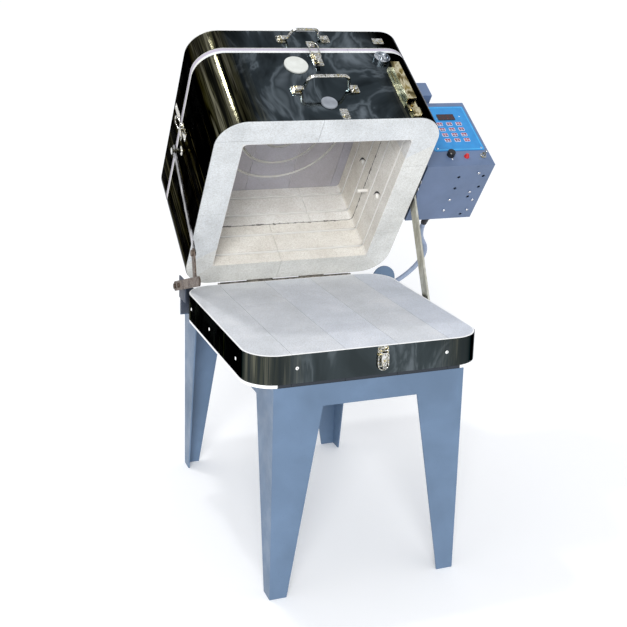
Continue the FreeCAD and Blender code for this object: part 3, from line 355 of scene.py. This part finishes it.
def guard_zinc(name):
    # Zinc plate with a yellow passivate on the interlock's channel and foot, bright chrome on its switch ring.
    # The pale straw streaks on the passivate and the white patches on the ring are painted highlights
    material, tree, bsdf, at = new_material(name, Metallic=1.0, Roughness=0.22)
    where = body_coordinates(tree, at)
    height = node(tree, "ShaderNodeSeparateXYZ", {"Vector": where}).outputs["Z"]
    cloud = noise(tree, where, 20, 3, 0.6, 0.8, (1.0, 1.0, 0.35))
    passivate_and_highlights = ramp(tree, cloud, [
        (0.36, "#4e4526"), (0.46, "#97875a"), (0.55, "#efe6c4"), (0.62, "#a8955a"), (0.72, "#3f3a22")])
    bright = ramp(tree, cloud, [(0.4, "#5d646c"), (0.5, "#e9ecef"), (0.6, "#8f979f"), (0.7, "#ffffff")])
    tree.links.new(blend(tree, spread(tree, height, 0.6977, 0.6987), passivate_and_highlights, bright), bsdf.inputs["Base Color"])
    tree.links.new(spread(tree, cloud, 0.3, 0.7, 0.12, 0.34), bsdf.inputs["Roughness"])
    bump(tree, bsdf, cloud, 0.3, 0.4)
    return material


# the chrome's near-black, white and gold patches are painted reflections
CHROME_REFLECTIONS = [
    (0.3, "#2a2a26"), (0.42, "#9c9a88"), (0.5, "#ffffff"),
    (0.56, "#77746a"), (0.62, "#e0d3a4"), (0.72, "#34342e"),
]
# The lid's grey-lilac inside is painted shade; the wall's inside and the rim differ by painted light and shade
BODY_RIM = ("#d0d2d1", "#dcdedd", "#e6e8e7")
WALL_INSIDE = ("#dedbd5", "#e8e6e1", "#f1f0ec")
LID_INSIDE_SHADE = ("#b3b1b8", "#bab8c0", "#c1c0c8")
FLOOR_TONES = ("#d2d6dc", "#dbdfe6", "#e5e8ee")
stand_enamel = enamel("stand_enamel", "#5f7691", "#52677f", 0.42)
box_enamel = enamel("box_enamel", "#5f7190", "#53647f", 0.4)
body_mirror = mirror_steel("body_mirror_steel", True, 0.0, 0.5, "#3d3a36")
base_mirror = mirror_steel("base_mirror_steel", False, 0.55, 0.95, "#3c4344")
body_brick = firebrick("body_firebrick", True, False, BODY_RIM, WALL_INSIDE, ("#f6f1e6", "#e9edf4"))
lid_brick = firebrick("lid_firebrick", True, True, BODY_RIM, LID_INSIDE_SHADE, ("#faf8f5", "#f6f7fa"))
floor_brick = firebrick("floor_firebrick", False, True, FLOOR_TONES, FLOOR_TONES, ("#faf9f6", "#f3f5f9"))
plug_ceramic = moulded("plug_ceramic", "#c9cbc6", "#bbbdb7", 0.75, 1.2)
grey_ceramic = moulded("grey_ceramic", "#8a8f96", "#7a7e85", 0.7, 1.2)
tube_ceramic = moulded("tube_ceramic", "#e6e3dc", "#dcd9d2", 0.7, 1.2)
element_wire = moulded("element_wire", "#cfc9bc", "#a9a294", 0.6, 1.5)
chrome = bare_metal("hardware_chrome", CHROME_REFLECTIONS, 0.12, 7)
hinge_steel = bare_metal("hinge_steel", [(0.35, "#5f5b55"), (0.6, "#a09b93")], 0.3, 18)
arm_steel = bare_metal("arm_steel", [(0.35, "#b3b1a3"), (0.6, "#d5d4c9")], 0.5, 26, (1, 1, 0.3))
STRUT_REFLECTIONS = [(0.35, "#2c2b2c"), (0.55, "#8d8b8c"), (0.65, "#c9c7ca")]
strut_steel = bare_metal("strut_steel", STRUT_REFLECTIONS, 0.24, 20, (1, 1, 0.3))
# brown-grey steel for the rest bracket and its bolts
brown_steel = bare_metal("brown_steel", [(0.35, "#564b43"), (0.6, "#7d7066")], 0.5, 14)
bolt_zinc = bare_metal("bolt_zinc", [(0.35, "#b9bcc2"), (0.6, "#fbfcff")], 0.2, 3)
# the stand's blue-grey enamel in a dark copy for the left hinge carrier: painted shade
shaded_stand_enamel = enamel("shaded_stand_enamel", "#3c4453", "#323946", 0.5)
bracket_black = enamel("bracket_black_enamel", "#232426", "#141516", 0.35)
interlock_plate = guard_zinc("interlock_zinc")
keypad_film = moulded("keypad_film", "#2385c4", "#1d78b6", 0.34, 1.5, 0.25)
border_film = moulded("keypad_border_film", "#46a8dc", "#3c9cd0", 0.3, 1.5, 0.25)
key_film = moulded("key_film", "#e9e0ee", "#dcd2e4", 0.35)
red_ink = moulded("red_ink", "#8f1733", "#7a102a", 0.4)
navy_ink = moulded("navy_ink", "#14164a", "#0d0f3c", 0.4)
smoked_window = moulded("smoked_window", "#1d0508", "#120304", 0.1, 1.5, 0.6)
dim_segments = moulded("dim_red_segments", "#7c1016", "#5e0c10", 0.3)
black_plastic = moulded("black_plastic", "#1b1b1d", "#101012", 0.3)
white_print_and_reflection = moulded("white_print_and_reflection", "#f4f4f2", "#e6e6e4", 0.4)
red_lens = moulded("red_lens", "#d01a1a", "#b01010", 0.12, 1.0, 0.6)
board_laminate = moulded("board_laminate", "#2f6242", "#254f35", 0.4)
cord_jacket = moulded("cord_jacket", "#93a0b6", "#8491a8", 0.6, 1.0)
black_rubber_and_shadow = moulded("black_rubber_and_shadow", "#26272b", "#1b1c1f", 0.6)

finishes = {
    "leg_front_left": stand_enamel, "leg_front_right": stand_enamel, "leg_rear_left": stand_enamel,
    "leg_rear_right": stand_enamel, "top_frame": stand_enamel, "stand_deck": stand_enamel,
    "hinge_carrier_right": stand_enamel, "control_box": box_enamel, "control_box_back": box_enamel,
    "lid_terminal_box": box_enamel, "base_floor_bricks": floor_brick, "wall_course_lower": body_brick,
    "wall_course_upper": body_brick, "lid_bricks": lid_brick, "base_jacket": base_mirror,
    "body_jacket": body_mirror, "lid_jacket": body_mirror, "wall_elements": element_wire,
    "lid_element": element_wire, "wall_feedthroughs": tube_ceramic, "upper_peephole_plug": plug_ceramic,
    "lower_peephole_plug": grey_ceramic, "base_hinge": hinge_steel, "body_hinge_leaf": hinge_steel,
    "lid_hinge_lower": hinge_steel, "lid_hinge_leaf": hinge_steel, "hinge_carrier_left": shaded_stand_enamel,
    "rest_bracket": brown_steel, "rest_strut": strut_steel, "arm_guide_bracket": arm_steel,
    "arm_bracket": bracket_black, "prop_arm": arm_steel, "arm_guide": arm_steel, "interlock": interlock_plate,
    "keypad_plate": keypad_film, "keypad_keys": key_film, "display_window": smoked_window,
    "selector_knob": black_plastic, "pilot_lamp": red_lens, "control_board": board_laminate,
    "cord_gland": black_rubber_and_shadow, "cord_plug": black_rubber_and_shadow, "power_cord": cord_jacket,
    "cord_coil": cord_jacket,
}
for name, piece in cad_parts.items():
    piece.data.materials.clear()
    piece.data.materials.append(finishes.get(name, chrome))

# Power lead: one cord from the gland to the plug, its spare length wound in a flat coil on the deck

CORD = 12.0
COIL_X = 118.0
COIL_Y = 348.0
COIL_RADIUS = 68
COIL_NARROWING = 12
LEAVE_ANGLE = math.radians(25)
low_layer = DECK_TOP + CORD / 2 + 0.3
high_layer = low_layer + CORD + 0.3
cord_start = place(340, 125, 557)
cord_route = [
    cord_start,
    place(340, 167, 557),
    Vector((0.388, 0.276, 0.567)),
    Vector((0.362, 0.297, 0.513)),
    Vector((0.296, 0.290, 0.477)),
    still(232, 280, low_layer),
    still(190, 281, low_layer),
    still(146, 280.6, low_layer),
]


def eased(value, start, end):
    share = min(max((value - start) / (end - start), 0), 1)
    return share * share * (3 - 2 * share)


# The coil's three turns, about 12 points each: out to in on the deck, up one layer, then back out on top. The
# spline cuts the corners between its points, so they stand a little further out.
TURN_POINTS = 36
for step in range(TURN_POINTS + 1):
    turns = (15 + 1075 * step / TURN_POINTS) / 360
    angle = -math.pi / 2 - 2 * math.pi * turns
    radius = COIL_RADIUS - COIL_NARROWING * eased(turns, 0.5, 0.98)
    radius += COIL_NARROWING * eased(turns, 2.12, 2.52)
    radius /= math.cos(math.radians(15))
    height = low_layer + (high_layer - low_layer) * eased(turns, 1.22, 1.62)
    cord_route.append(still(COIL_X + radius * math.cos(angle), COIL_Y + radius * math.sin(angle), height))
leave_x = COIL_X - COIL_RADIUS * math.sin(LEAVE_ANGLE)
leave_y = COIL_Y - COIL_RADIUS * math.cos(LEAVE_ANGLE)
leave_point = still(leave_x, leave_y, high_layer)
leave_way = Vector((-math.cos(LEAVE_ANGLE), math.sin(LEAVE_ANGLE), 0))
cord_route.append(leave_point + leave_way * 0.024 + Vector((0.0004, 0.0009, 0)))
cord_route.append(leave_point + leave_way * 0.062)


def link(piece):
    bpy.context.scene.collection.objects.link(piece)
    return piece


def evaluated_mesh(piece):
    """the piece as its modifiers or its curve settings make it"""
    bpy.context.view_layer.update()
    return bpy.data.meshes.new_from_object(piece.evaluated_get(bpy.context.evaluated_depsgraph_get()))


def cord_mesh(points, thickness):
    """mesh of a smooth spline through the cord's route: a line, or a tube of the given thickness"""
    curve = bpy.data.curves.new("lead_route", "CURVE")
    curve.dimensions = "3D"
    spline = curve.splines.new("NURBS")
    spline.points.add(len(points) - 1)
    for point, at in zip(spline.points, points):
        point.co = (*at, 1)
    spline.order_u = 3
    spline.use_endpoint_u = True
    spline.resolution_u = 8
    curve.bevel_depth = thickness
    curve.bevel_resolution = 4
    curve.use_fill_caps = True
    holder = link(bpy.data.objects.new("lead_route", curve))
    mesh = evaluated_mesh(holder)
    bpy.data.objects.remove(holder)
    return mesh


def add_piece(name, mesh, body, material, smooth=True):
    """links a finished mesh as a piece that rides on a body"""
    mesh.name = name
    if material:
        mesh.materials.clear()
        mesh.materials.append(material)
    for face in mesh.polygons:
        face.use_smooth = smooth
    piece = link(bpy.data.objects.new(name, mesh))
    if body:
        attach(piece, body)
    return piece


cord_path = [tuple(v.co) for v in cord_mesh(cord_route, 0).vertices]
power_lead = add_piece("power_lead", cord_mesh(cord_route, CORD / 2000), None, cord_jacket)
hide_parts("power_cord", "cord_coil")
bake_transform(power_lead)

# Node trees that repeat a small part, or wind a wire

def geometry_tree(name, numbers, materials):
    """empty geometry tree with an input for each size and material"""
    tree = bpy.data.node_groups.new(name, "GeometryNodeTree")
    tree.interface.new_socket("Geometry", in_out="INPUT", socket_type="NodeSocketGeometry")
    for label in numbers:
        tree.interface.new_socket(label, in_out="INPUT", socket_type="NodeSocketFloat")
    for label in materials:
        tree.interface.new_socket(label, in_out="INPUT", socket_type="NodeSocketMaterial")
    tree.interface.new_socket("Geometry", in_out="OUTPUT", socket_type="NodeSocketGeometry")
    return tree, node(tree, "NodeGroupInput").outputs, node(tree, "NodeGroupOutput")


def run_tree(tree, mesh, values):
    """runs a geometry tree on a mesh with named values and gives the plain mesh back"""
    holder = link(bpy.data.objects.new(tree.name, mesh))
    modifier = holder.modifiers.new("build", "NODES")
    modifier.node_group = tree
    for item in tree.interface.items_tree:
        if item.item_type == "SOCKET" and item.in_out == "INPUT" and item.name in values:
            modifier[item.identifier] = values[item.name]
    made = evaluated_mesh(holder)
    bpy.data.objects.remove(holder)
    return made


def screw_tree():
    """domed slotted screw heads on points, each turned about its own axis by chance"""
    tree, given, result = geometry_tree(
        "screw_heads", ["Head radius", "Head height"], ["Head finish", "Slot finish"])
    dome = node(tree, "GeometryNodeMeshUVSphere", {
        "Segments": 14, "Rings": 8, "Radius": given["Head radius"]})
    flat = node(tree, "ShaderNodeCombineXYZ", {
        "X": 1.0, "Y": 1.0, "Z": maths(tree, "DIVIDE", given["Head height"], given["Head radius"])})
    dome = node(tree, "GeometryNodeTransform", {
        "Geometry": dome.outputs["Mesh"], "Scale": flat.outputs["Vector"]})
    dome = node(tree, "GeometryNodeSetShadeSmooth", {"Geometry": dome.outputs["Geometry"]})
    dome = node(tree, "GeometryNodeSetMaterial", {
        "Geometry": dome.outputs["Geometry"], "Material": given["Head finish"]})
    size = node(tree, "ShaderNodeCombineXYZ", {
        "X": maths(tree, "MULTIPLY", given["Head radius"], 1.25),
        "Y": maths(tree, "MULTIPLY", given["Head radius"], 0.26),
        "Z": maths(tree, "MULTIPLY", given["Head height"], 0.4)})
    lift = node(tree, "ShaderNodeCombineXYZ", {"Z": maths(tree, "MULTIPLY", given["Head height"], 0.84)})
    slot = node(tree, "GeometryNodeMeshCube", {"Size": size.outputs["Vector"]})
    slot = node(tree, "GeometryNodeTransform", {
        "Geometry": slot.outputs["Mesh"], "Translation": lift.outputs["Vector"]})
    slot = node(tree, "GeometryNodeSetMaterial", {
        "Geometry": slot.outputs["Geometry"], "Material": given["Slot finish"]})
    head = node(tree, "GeometryNodeJoinGeometry")
    tree.links.new(dome.outputs["Geometry"], head.inputs["Geometry"])
    tree.links.new(slot.outputs["Geometry"], head.inputs["Geometry"])
    facing = node(tree, "GeometryNodeInputNamedAttribute", {"Name": "facing"}, data_type="FLOAT_VECTOR")
    aim = node(tree, "FunctionNodeAlignRotationToVector", {"Vector": facing.outputs["Attribute"]}, axis="Z")
    chance = node(tree, "FunctionNodeRandomValue", {"Max": 3.14, "Seed": 7}, data_type="FLOAT")
    spin = node(tree, "FunctionNodeAxisAngleToRotation", {
        "Axis": (0, 0, 1), "Angle": chance.outputs["Value"]})
    turned = node(tree, "FunctionNodeRotateRotation", {
        "Rotation": aim.outputs["Rotation"], "Rotate By": spin.outputs["Rotation"]}, rotation_space="LOCAL")
    placed = node(tree, "GeometryNodeInstanceOnPoints", {
        "Points": given["Geometry"], "Instance": head.outputs["Geometry"],
        "Rotation": turned.outputs["Rotation"]})
    real = node(tree, "GeometryNodeRealizeInstances", {"Geometry": placed.outputs["Instances"]})
    tree.links.new(real.outputs["Geometry"], result.inputs["Geometry"])
    return tree


def wire_tree():
    """round wire wound in a helix round a path"""
    tree, given, result = geometry_tree(
        "wound_wire", ["Coil radius", "Wire radius", "Turns", "Steps"], ["Finish"])
    path = node(tree, "GeometryNodeMeshToCurve", {"Mesh": given["Geometry"]})
    count = maths(tree, "MULTIPLY", given["Turns"], given["Steps"])
    path = node(tree, "GeometryNodeResampleCurve", {
        "Curve": path.outputs["Curve"], "Count": count}, mode="COUNT")
    along = node(tree, "GeometryNodeInputTangent").outputs["Tangent"]
    across = node(tree, "GeometryNodeInputNormal").outputs["Normal"]
    third = node(tree, "ShaderNodeVectorMath", {
        0: along, 1: across}, operation="CROSS_PRODUCT").outputs["Vector"]
    share = node(tree, "GeometryNodeSplineParameter").outputs["Factor"]
    angle = maths(tree, "MULTIPLY", maths(tree, "MULTIPLY", share, given["Turns"]), 2 * math.pi)
    first = node(tree, "ShaderNodeVectorMath", {
        0: across, "Scale": maths(tree, "COSINE", angle)}, operation="SCALE")
    second = node(tree, "ShaderNodeVectorMath", {
        0: third, "Scale": maths(tree, "SINE", angle)}, operation="SCALE")
    both = node(tree, "ShaderNodeVectorMath", {
        0: first.outputs["Vector"], 1: second.outputs["Vector"]}, operation="ADD")
    offset = node(tree, "ShaderNodeVectorMath", {
        0: both.outputs["Vector"], "Scale": given["Coil radius"]}, operation="SCALE")
    wound = node(tree, "GeometryNodeSetPosition", {
        "Geometry": path.outputs["Curve"], "Offset": offset.outputs["Vector"]})
    ring = node(tree, "GeometryNodeCurvePrimitiveCircle", {"Resolution": 4, "Radius": given["Wire radius"]})
    wire = node(tree, "GeometryNodeCurveToMesh", {
        "Curve": wound.outputs["Geometry"], "Profile Curve": ring.outputs["Curve"], "Fill Caps": True})
    wire = node(tree, "GeometryNodeSetShadeSmooth", {"Geometry": wire.outputs["Mesh"]})
    wire = node(tree, "GeometryNodeSetMaterial", {
        "Geometry": wire.outputs["Geometry"], "Material": given["Finish"]})
    tree.links.new(wire.outputs["Geometry"], result.inputs["Geometry"])
    return tree


def point_mesh(points, facings):
    """loose points, each with the way that what stands on it faces"""
    mesh = bpy.data.meshes.new("points")
    mesh.from_pydata([tuple(p) for p in points], [], [])
    attribute = mesh.attributes.new("facing", "FLOAT_VECTOR", "POINT")
    for item, facing in zip(attribute.data, facings):
        item.vector = facing
    return mesh


def line_mesh(lines):
    """edges along each line of points"""
    points, edges = [], []
    for line in lines:
        edges += [(len(points) + i, len(points) + i + 1) for i in range(len(line) - 1)]
        points += [tuple(p) for p in line]
    mesh = bpy.data.meshes.new("lines")
    mesh.from_pydata(points, edges, [])
    return mesh


screws = screw_tree()
wound = wire_tree()


def add_screws(name, body, spots, radius, height, finish=None):
    """spots are pairs of a point and the way that the head faces"""
    mesh = run_tree(screws, point_mesh([p for p, f in spots], [f for p, f in spots]), {
        "Head radius": radius / 1000, "Head height": height / 1000,
        "Head finish": finish or bolt_zinc, "Slot finish": black_plastic})
    return add_piece(name, mesh, body, None, True)


FRONT = way(0, -1, 0)
LEFT = Vector((-1, 0, 0))
RIGHT = Vector((1, 0, 0))
DOWN = way(0, 0, -1)
BEHIND = way(0, 1, 0)

# Heating coils, wound wire that lies in the grooves of the walls and the lid

wall_lines = []
WALL_TURNS = 300.0
CORNER_CUT = 9
reach = INNER + GROOVE_DEPTH - COIL_INSET
for height in WALL_COIL_HEIGHTS:
    z = RIM + height
    corners = [(reach, 0), (reach, reach), (-reach, reach), (-reach, -reach), (reach, -reach), (reach, 0)]
    line = []
    for (ax, ay), (bx, by) in zip(corners, corners[1:]):
        run = math.hypot(bx - ax, by - ay)
        for cut in (CORNER_CUT, run - CORNER_CUT):
            share = cut / run
            line.append(place(ax + (bx - ax) * share, ay + (by - ay) * share, z))
    wall_lines.append(line)
wall_wire = run_tree(wound, line_mesh(wall_lines), {
    **COIL_SIZES, "Turns": WALL_TURNS, "Finish": element_wire})
wall_coils = add_piece("wall_heating_coils", wall_wire, "kiln_body", None)
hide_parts("wall_elements")

# The lid's rings are open by 15 degrees
LID_TURNS = 110.0
RING_ARC = 345
RING_STEPS = 40
ring_angles = [math.radians(RING_ARC * i / RING_STEPS) for i in range(RING_STEPS + 1)]
ring_z = RIM + LID_RISE + LID_GROOVE_DEPTH - COIL_INSET
lid_lines = []
for radius in LID_COIL_RADII:
    lid_lines.append([place(radius * math.cos(a), radius * math.sin(a), ring_z) for a in ring_angles])
lid_wire = run_tree(wound, line_mesh(lid_lines), {**COIL_SIZES, "Turns": LID_TURNS, "Finish": element_wire})
lid_coil = add_piece("lid_heating_coils", lid_wire, "lid", None)
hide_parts("lid_element")

# Screws and bolts that show bright on the sheet metal

# The faces that they sit on, in millimetres
BOX_FLOOR = BOX_BOTTOM - 1.5
BOX_BACK = 98.6
FILM_FACE = -88.0
BAND_FACE = -259.1
BAND_SCREW_Z = 495
BRACKET_FACE = -278.5
ARM_PLATE = 266.1
ARM_BOLT_Z = 535.8

lower_face = [(418, -60), (417, 4), (435, 33), (372, 29), (369, 66), (433, 68)]
floor_spots = [(place(x, y, BOX_FLOOR), DOWN) for x, y in lower_face]
add_screws("box_floor_screws", "kiln_body", floor_spots, 3.6, 1.6)
back_face = [(x, z) for x in (BOX_LEFT + 12, BOX_LEFT + 165) for z in (BOX_BOTTOM + 40, BOX_BOTTOM + 204)]
add_screws("box_back_screws", "kiln_body", [(place(x, BOX_BACK, z), BEHIND) for x, z in back_face], 3.5, 1.5)
film_spots = [(321.5, 599.0), (437.5, 598.0)]
add_screws("film_screws", "kiln_body", [(place(x, FILM_FACE, z), FRONT) for x, z in film_spots], 2.7, 1.0)

# The band's screws are matt white and not metal: a painted reflection, for they show as plain white dots in the
# dark mirror
band_spots = [(still(x, BAND_FACE, BAND_SCREW_Z), Vector((0, -1, 0))) for x in (-161, 166)]
band_spots += [(still(BAND_FACE, y, BAND_SCREW_Z), LEFT) for y in (-170, 22, 171)]
add_screws("base_band_screws", "stand", band_spots, 3.7, 1.4, white_print_and_reflection)
strut_spots = [(still(BRACKET_FACE, 244, 531), LEFT), (still(BRACKET_FACE, 215, 541), LEFT)]
add_screws("rest_bracket_bolts", "stand", strut_spots, 6.2, 2.0, brown_steel)
arm_spots = [(place(ARM_PLATE, y, ARM_BOLT_Z), RIGHT) for y in (-46, -23)]
add_screws("arm_bracket_bolts", "kiln_body", arm_spots, 6.2, 2.4)


WALL_FACE = 193.7
CRESCENT_HALF_STEPS = 6


def crescents(spots, half_length, rise, depth):
    """mesh of dark crescents on the right wall, one over each bush, bowed and lying aslant: painted shadow
    under the upper rim of each bush's hole
    """
    built = bmesh.new()
    for y, z in spots:
        rows = []
        for step in range(2 * CRESCENT_HALF_STEPS + 1):
            share = step / CRESCENT_HALF_STEPS - 1
            bow = 1 - share * share
            for lift in (rise * bow, (rise + depth) * bow + 0.3):
                at_y = y - 0.71 * half_length * share - 0.76 * lift
                at_z = z - 0.71 * half_length * share + 0.65 * lift
                rows.append(built.verts.new(place(WALL_FACE, at_y, at_z)))
        for k in range(0, 4 * CRESCENT_HALF_STEPS, 2):
            built.faces.new([rows[k], rows[k + 2], rows[k + 3], rows[k + 1]])
    bmesh.ops.recalc_face_normals(built, faces=built.faces)
    for face in built.faces:
        if face.normal.x > 0:
            face.normal_flip()
    mesh = bpy.data.meshes.new("crescents")
    built.to_mesh(mesh)
    built.free()
    return mesh


PORT_Y = 36.0
PORT_HEIGHTS = (50.0, 163.5)
# dark crescents over the ports: painted shadow
port_shadows = crescents([(PORT_Y, RIM + height) for height in PORT_HEIGHTS], 21.0, 6.0, 4.5)
add_piece("port_shadows", port_shadows, "kiln_body", black_rubber_and_shadow, False)


def boxes(spans):
    """mesh of separate blocks, each given by its lowest and highest corner in the shut kiln"""
    built = bmesh.new()
    for low, high in spans:
        corners = []
        for bit in range(8):
            spot = [high[i] if bit >> i & 1 else low[i] for i in range(3)]
            corners.append(built.verts.new(place(*spot)))
        for side in ((0, 2, 3, 1), (4, 5, 7, 6), (0, 1, 5, 4), (2, 6, 7, 3), (0, 4, 6, 2), (1, 3, 7, 5)):
            built.faces.new([corners[i] for i in side])
    bmesh.ops.recalc_face_normals(built, faces=built.faces)
    mesh = bpy.data.meshes.new("blocks")
    built.to_mesh(mesh)
    built.free()
    return mesh


# Keypad: plain bars for marks on the keys, a pale border, the window's dim bars, a pilot dot. Depths are those
# of the thin blocks, front and back.

KEY_LEFT = 359.5
KEY_TOP = 682.5
KEY_STEP_X = 25.6
KEY_STEP_Z = 18.6
KEY_ROWS = 4
KEY_COLUMNS = 3
LAST_KEY = KEY_ROWS * KEY_COLUMNS - 1
MARK_DEPTHS = (-88.25, -87.9)
BORDER_DEPTHS = (-87.45, -87.1)
BAR_DEPTHS = (-88.95, -88.6)


def block(x_span, depths, z_span):
    """lowest and highest corner of a block from its three spans"""
    return (x_span[0], depths[0], z_span[0]), (x_span[1], depths[1], z_span[1])


key_spots = [
    (KEY_LEFT + KEY_STEP_X * column, KEY_TOP - KEY_STEP_Z * row)
    for row in range(KEY_ROWS) for column in range(KEY_COLUMNS)]
red_marks, navy_marks = [], []
for index, (x, z) in enumerate(key_spots):
    for side in (-3.5, 3.5):
        red_marks.append(block((x + side - 3.0, x + side + 3.0), MARK_DEPTHS, (z + 0.4, z + 4.5)))
        lower = block((x + side - 2.9, x + side + 2.9), MARK_DEPTHS, (z - 4.5, z - 1.0))
        (red_marks if index == LAST_KEY else navy_marks).append(lower)
add_piece("key_marks_red", boxes(red_marks), "kiln_body", red_ink, False)
add_piece("key_marks_navy", boxes(navy_marks), "kiln_body", navy_ink, False)
border = [
    block((314.5, 442.5), BORDER_DEPTHS, (595.0, 597.2)),
    block((314.5, 442.5), BORDER_DEPTHS, (739.8, 742.0)),
    block((314.5, 316.7), BORDER_DEPTHS, (597.2, 739.8)),
    block((440.3, 442.5), BORDER_DEPTHS, (597.2, 739.8)),
]
add_piece("film_border", boxes(border), "kiln_body", border_film, False)
digits = []
for x in [366.5 + 11.6 * i for i in range(4)]:
    for z in (700.2, 705.6, 711.0):
        digits.append(block((x - 2.6, x + 2.6), BAR_DEPTHS, (z - 0.5, z + 0.5)))
add_piece("window_digits", boxes(digits), "kiln_body", dim_segments, False)

pilot_dot = boxes([block((421.0, 423.2), (-88.0, -87.1), (707.0, 709.2))])
add_piece("pilot_dot", pilot_dot, "kiln_body", white_print_and_reflection, False)
knob_tick = boxes([block((346.6, 348.4), (-87.0, -85.9), (562.5, 567.5))])
add_piece("knob_tick", knob_tick, "kiln_body", white_print_and_reflection, False)

# Room, light and camera

# The floor reaches so far that its edge lies at the horizon, and it glows a little, which keeps it near white
REACH = 600.0
FLOOR_GLOW = 0.14
WORLD_STRENGTH = 0.72
floor_corners = [(-REACH, -REACH, 0), (REACH, -REACH, 0), (REACH, REACH, 0), (-REACH, REACH, 0)]
floor_mesh = bpy.data.meshes.new("studio_floor")
floor_mesh.from_pydata(floor_corners, [], [(0, 1, 2, 3)])
studio_floor = link(bpy.data.objects.new("studio_floor", floor_mesh))
floor_material, floor_tree, floor_bsdf, floor_at = new_material("studio_floor_paper", Roughness=0.9)
floor_cloud = noise(floor_tree, floor_at, 900, 2, 0.5)
floor_shade = ramp(floor_tree, floor_cloud, [(0.3, "#f8f8f8"), (0.7, "#fafafa")])
floor_tree.links.new(floor_shade, floor_bsdf.inputs["Base Color"])
floor_bsdf.inputs["Emission Color"].default_value = colour("#fffdf8")
floor_bsdf.inputs["Emission Strength"].default_value = FLOOR_GLOW
floor_mesh.materials.append(floor_material)

world = bpy.data.worlds.new("studio")
bpy.context.scene.world = world
world.use_nodes = True
world.node_tree.nodes["Background"].inputs["Color"].default_value = colour("#f6f9ff")
world.node_tree.nodes["Background"].inputs["Strength"].default_value = WORLD_STRENGTH


def lamp(name, kind, at, aim, power, **settings):
    """a lamp at a place, turned towards a point"""
    light = bpy.data.lights.new(name, kind)
    light.energy = power
    for key, value in settings.items():
        setattr(light, key, value)
    holder = link(bpy.data.objects.new(name, light))
    holder.location = at
    holder.rotation_euler = (Vector(aim) - Vector(at)).to_track_quat("-Z", "Y").to_euler()


lamp("key_light", "SUN", (-1.6, -3.6, 2.2), (0, 0, 0.6), 2.3, angle=math.radians(24))
lamp("ceiling_strip", "AREA", (-0.55, 0.42, 2.6), (0, 0.1, 0.9), 9, size=0.14)

# The camera's place in metres and its angles in degrees, as fitted to the photo
CAMERA_PLACE = (-0.8731, -2.1458, 1.2398)
CAMERA_YAW = 21.365
CAMERA_PITCH = 13.058
CAMERA_ROLL = 1.564
LENS_MM = 62.95
SENSOR_MM = 36.0
LENS_SHIFT = -0.1332


def camera_matrix():
    """the camera's place and turn: it looks along forward, with a little roll"""
    yaw, pitch, roll = (math.radians(a) for a in (CAMERA_YAW, CAMERA_PITCH, CAMERA_ROLL))
    flat = math.cos(pitch)
    forward = Vector((math.sin(yaw) * flat, math.cos(yaw) * flat, -math.sin(pitch)))
    level = Vector((math.cos(yaw), -math.sin(yaw), 0))
    rise = level.cross(forward)
    right = level * math.cos(roll) + rise * math.sin(roll)
    up = rise * math.cos(roll) - level * math.sin(roll)
    turn = Matrix((right, up, -forward)).transposed().to_4x4()
    return Matrix.Translation(CAMERA_PLACE) @ turn


lens = bpy.data.cameras.new("photo_camera")
lens.sensor_width = SENSOR_MM
lens.lens = LENS_MM
lens.shift_y = LENS_SHIFT
camera = link(bpy.data.objects.new("photo_camera", lens))
camera.matrix_world = camera_matrix()
bpy.context.scene.camera = camera
bpy.context.scene.view_settings.view_transform = "Standard"
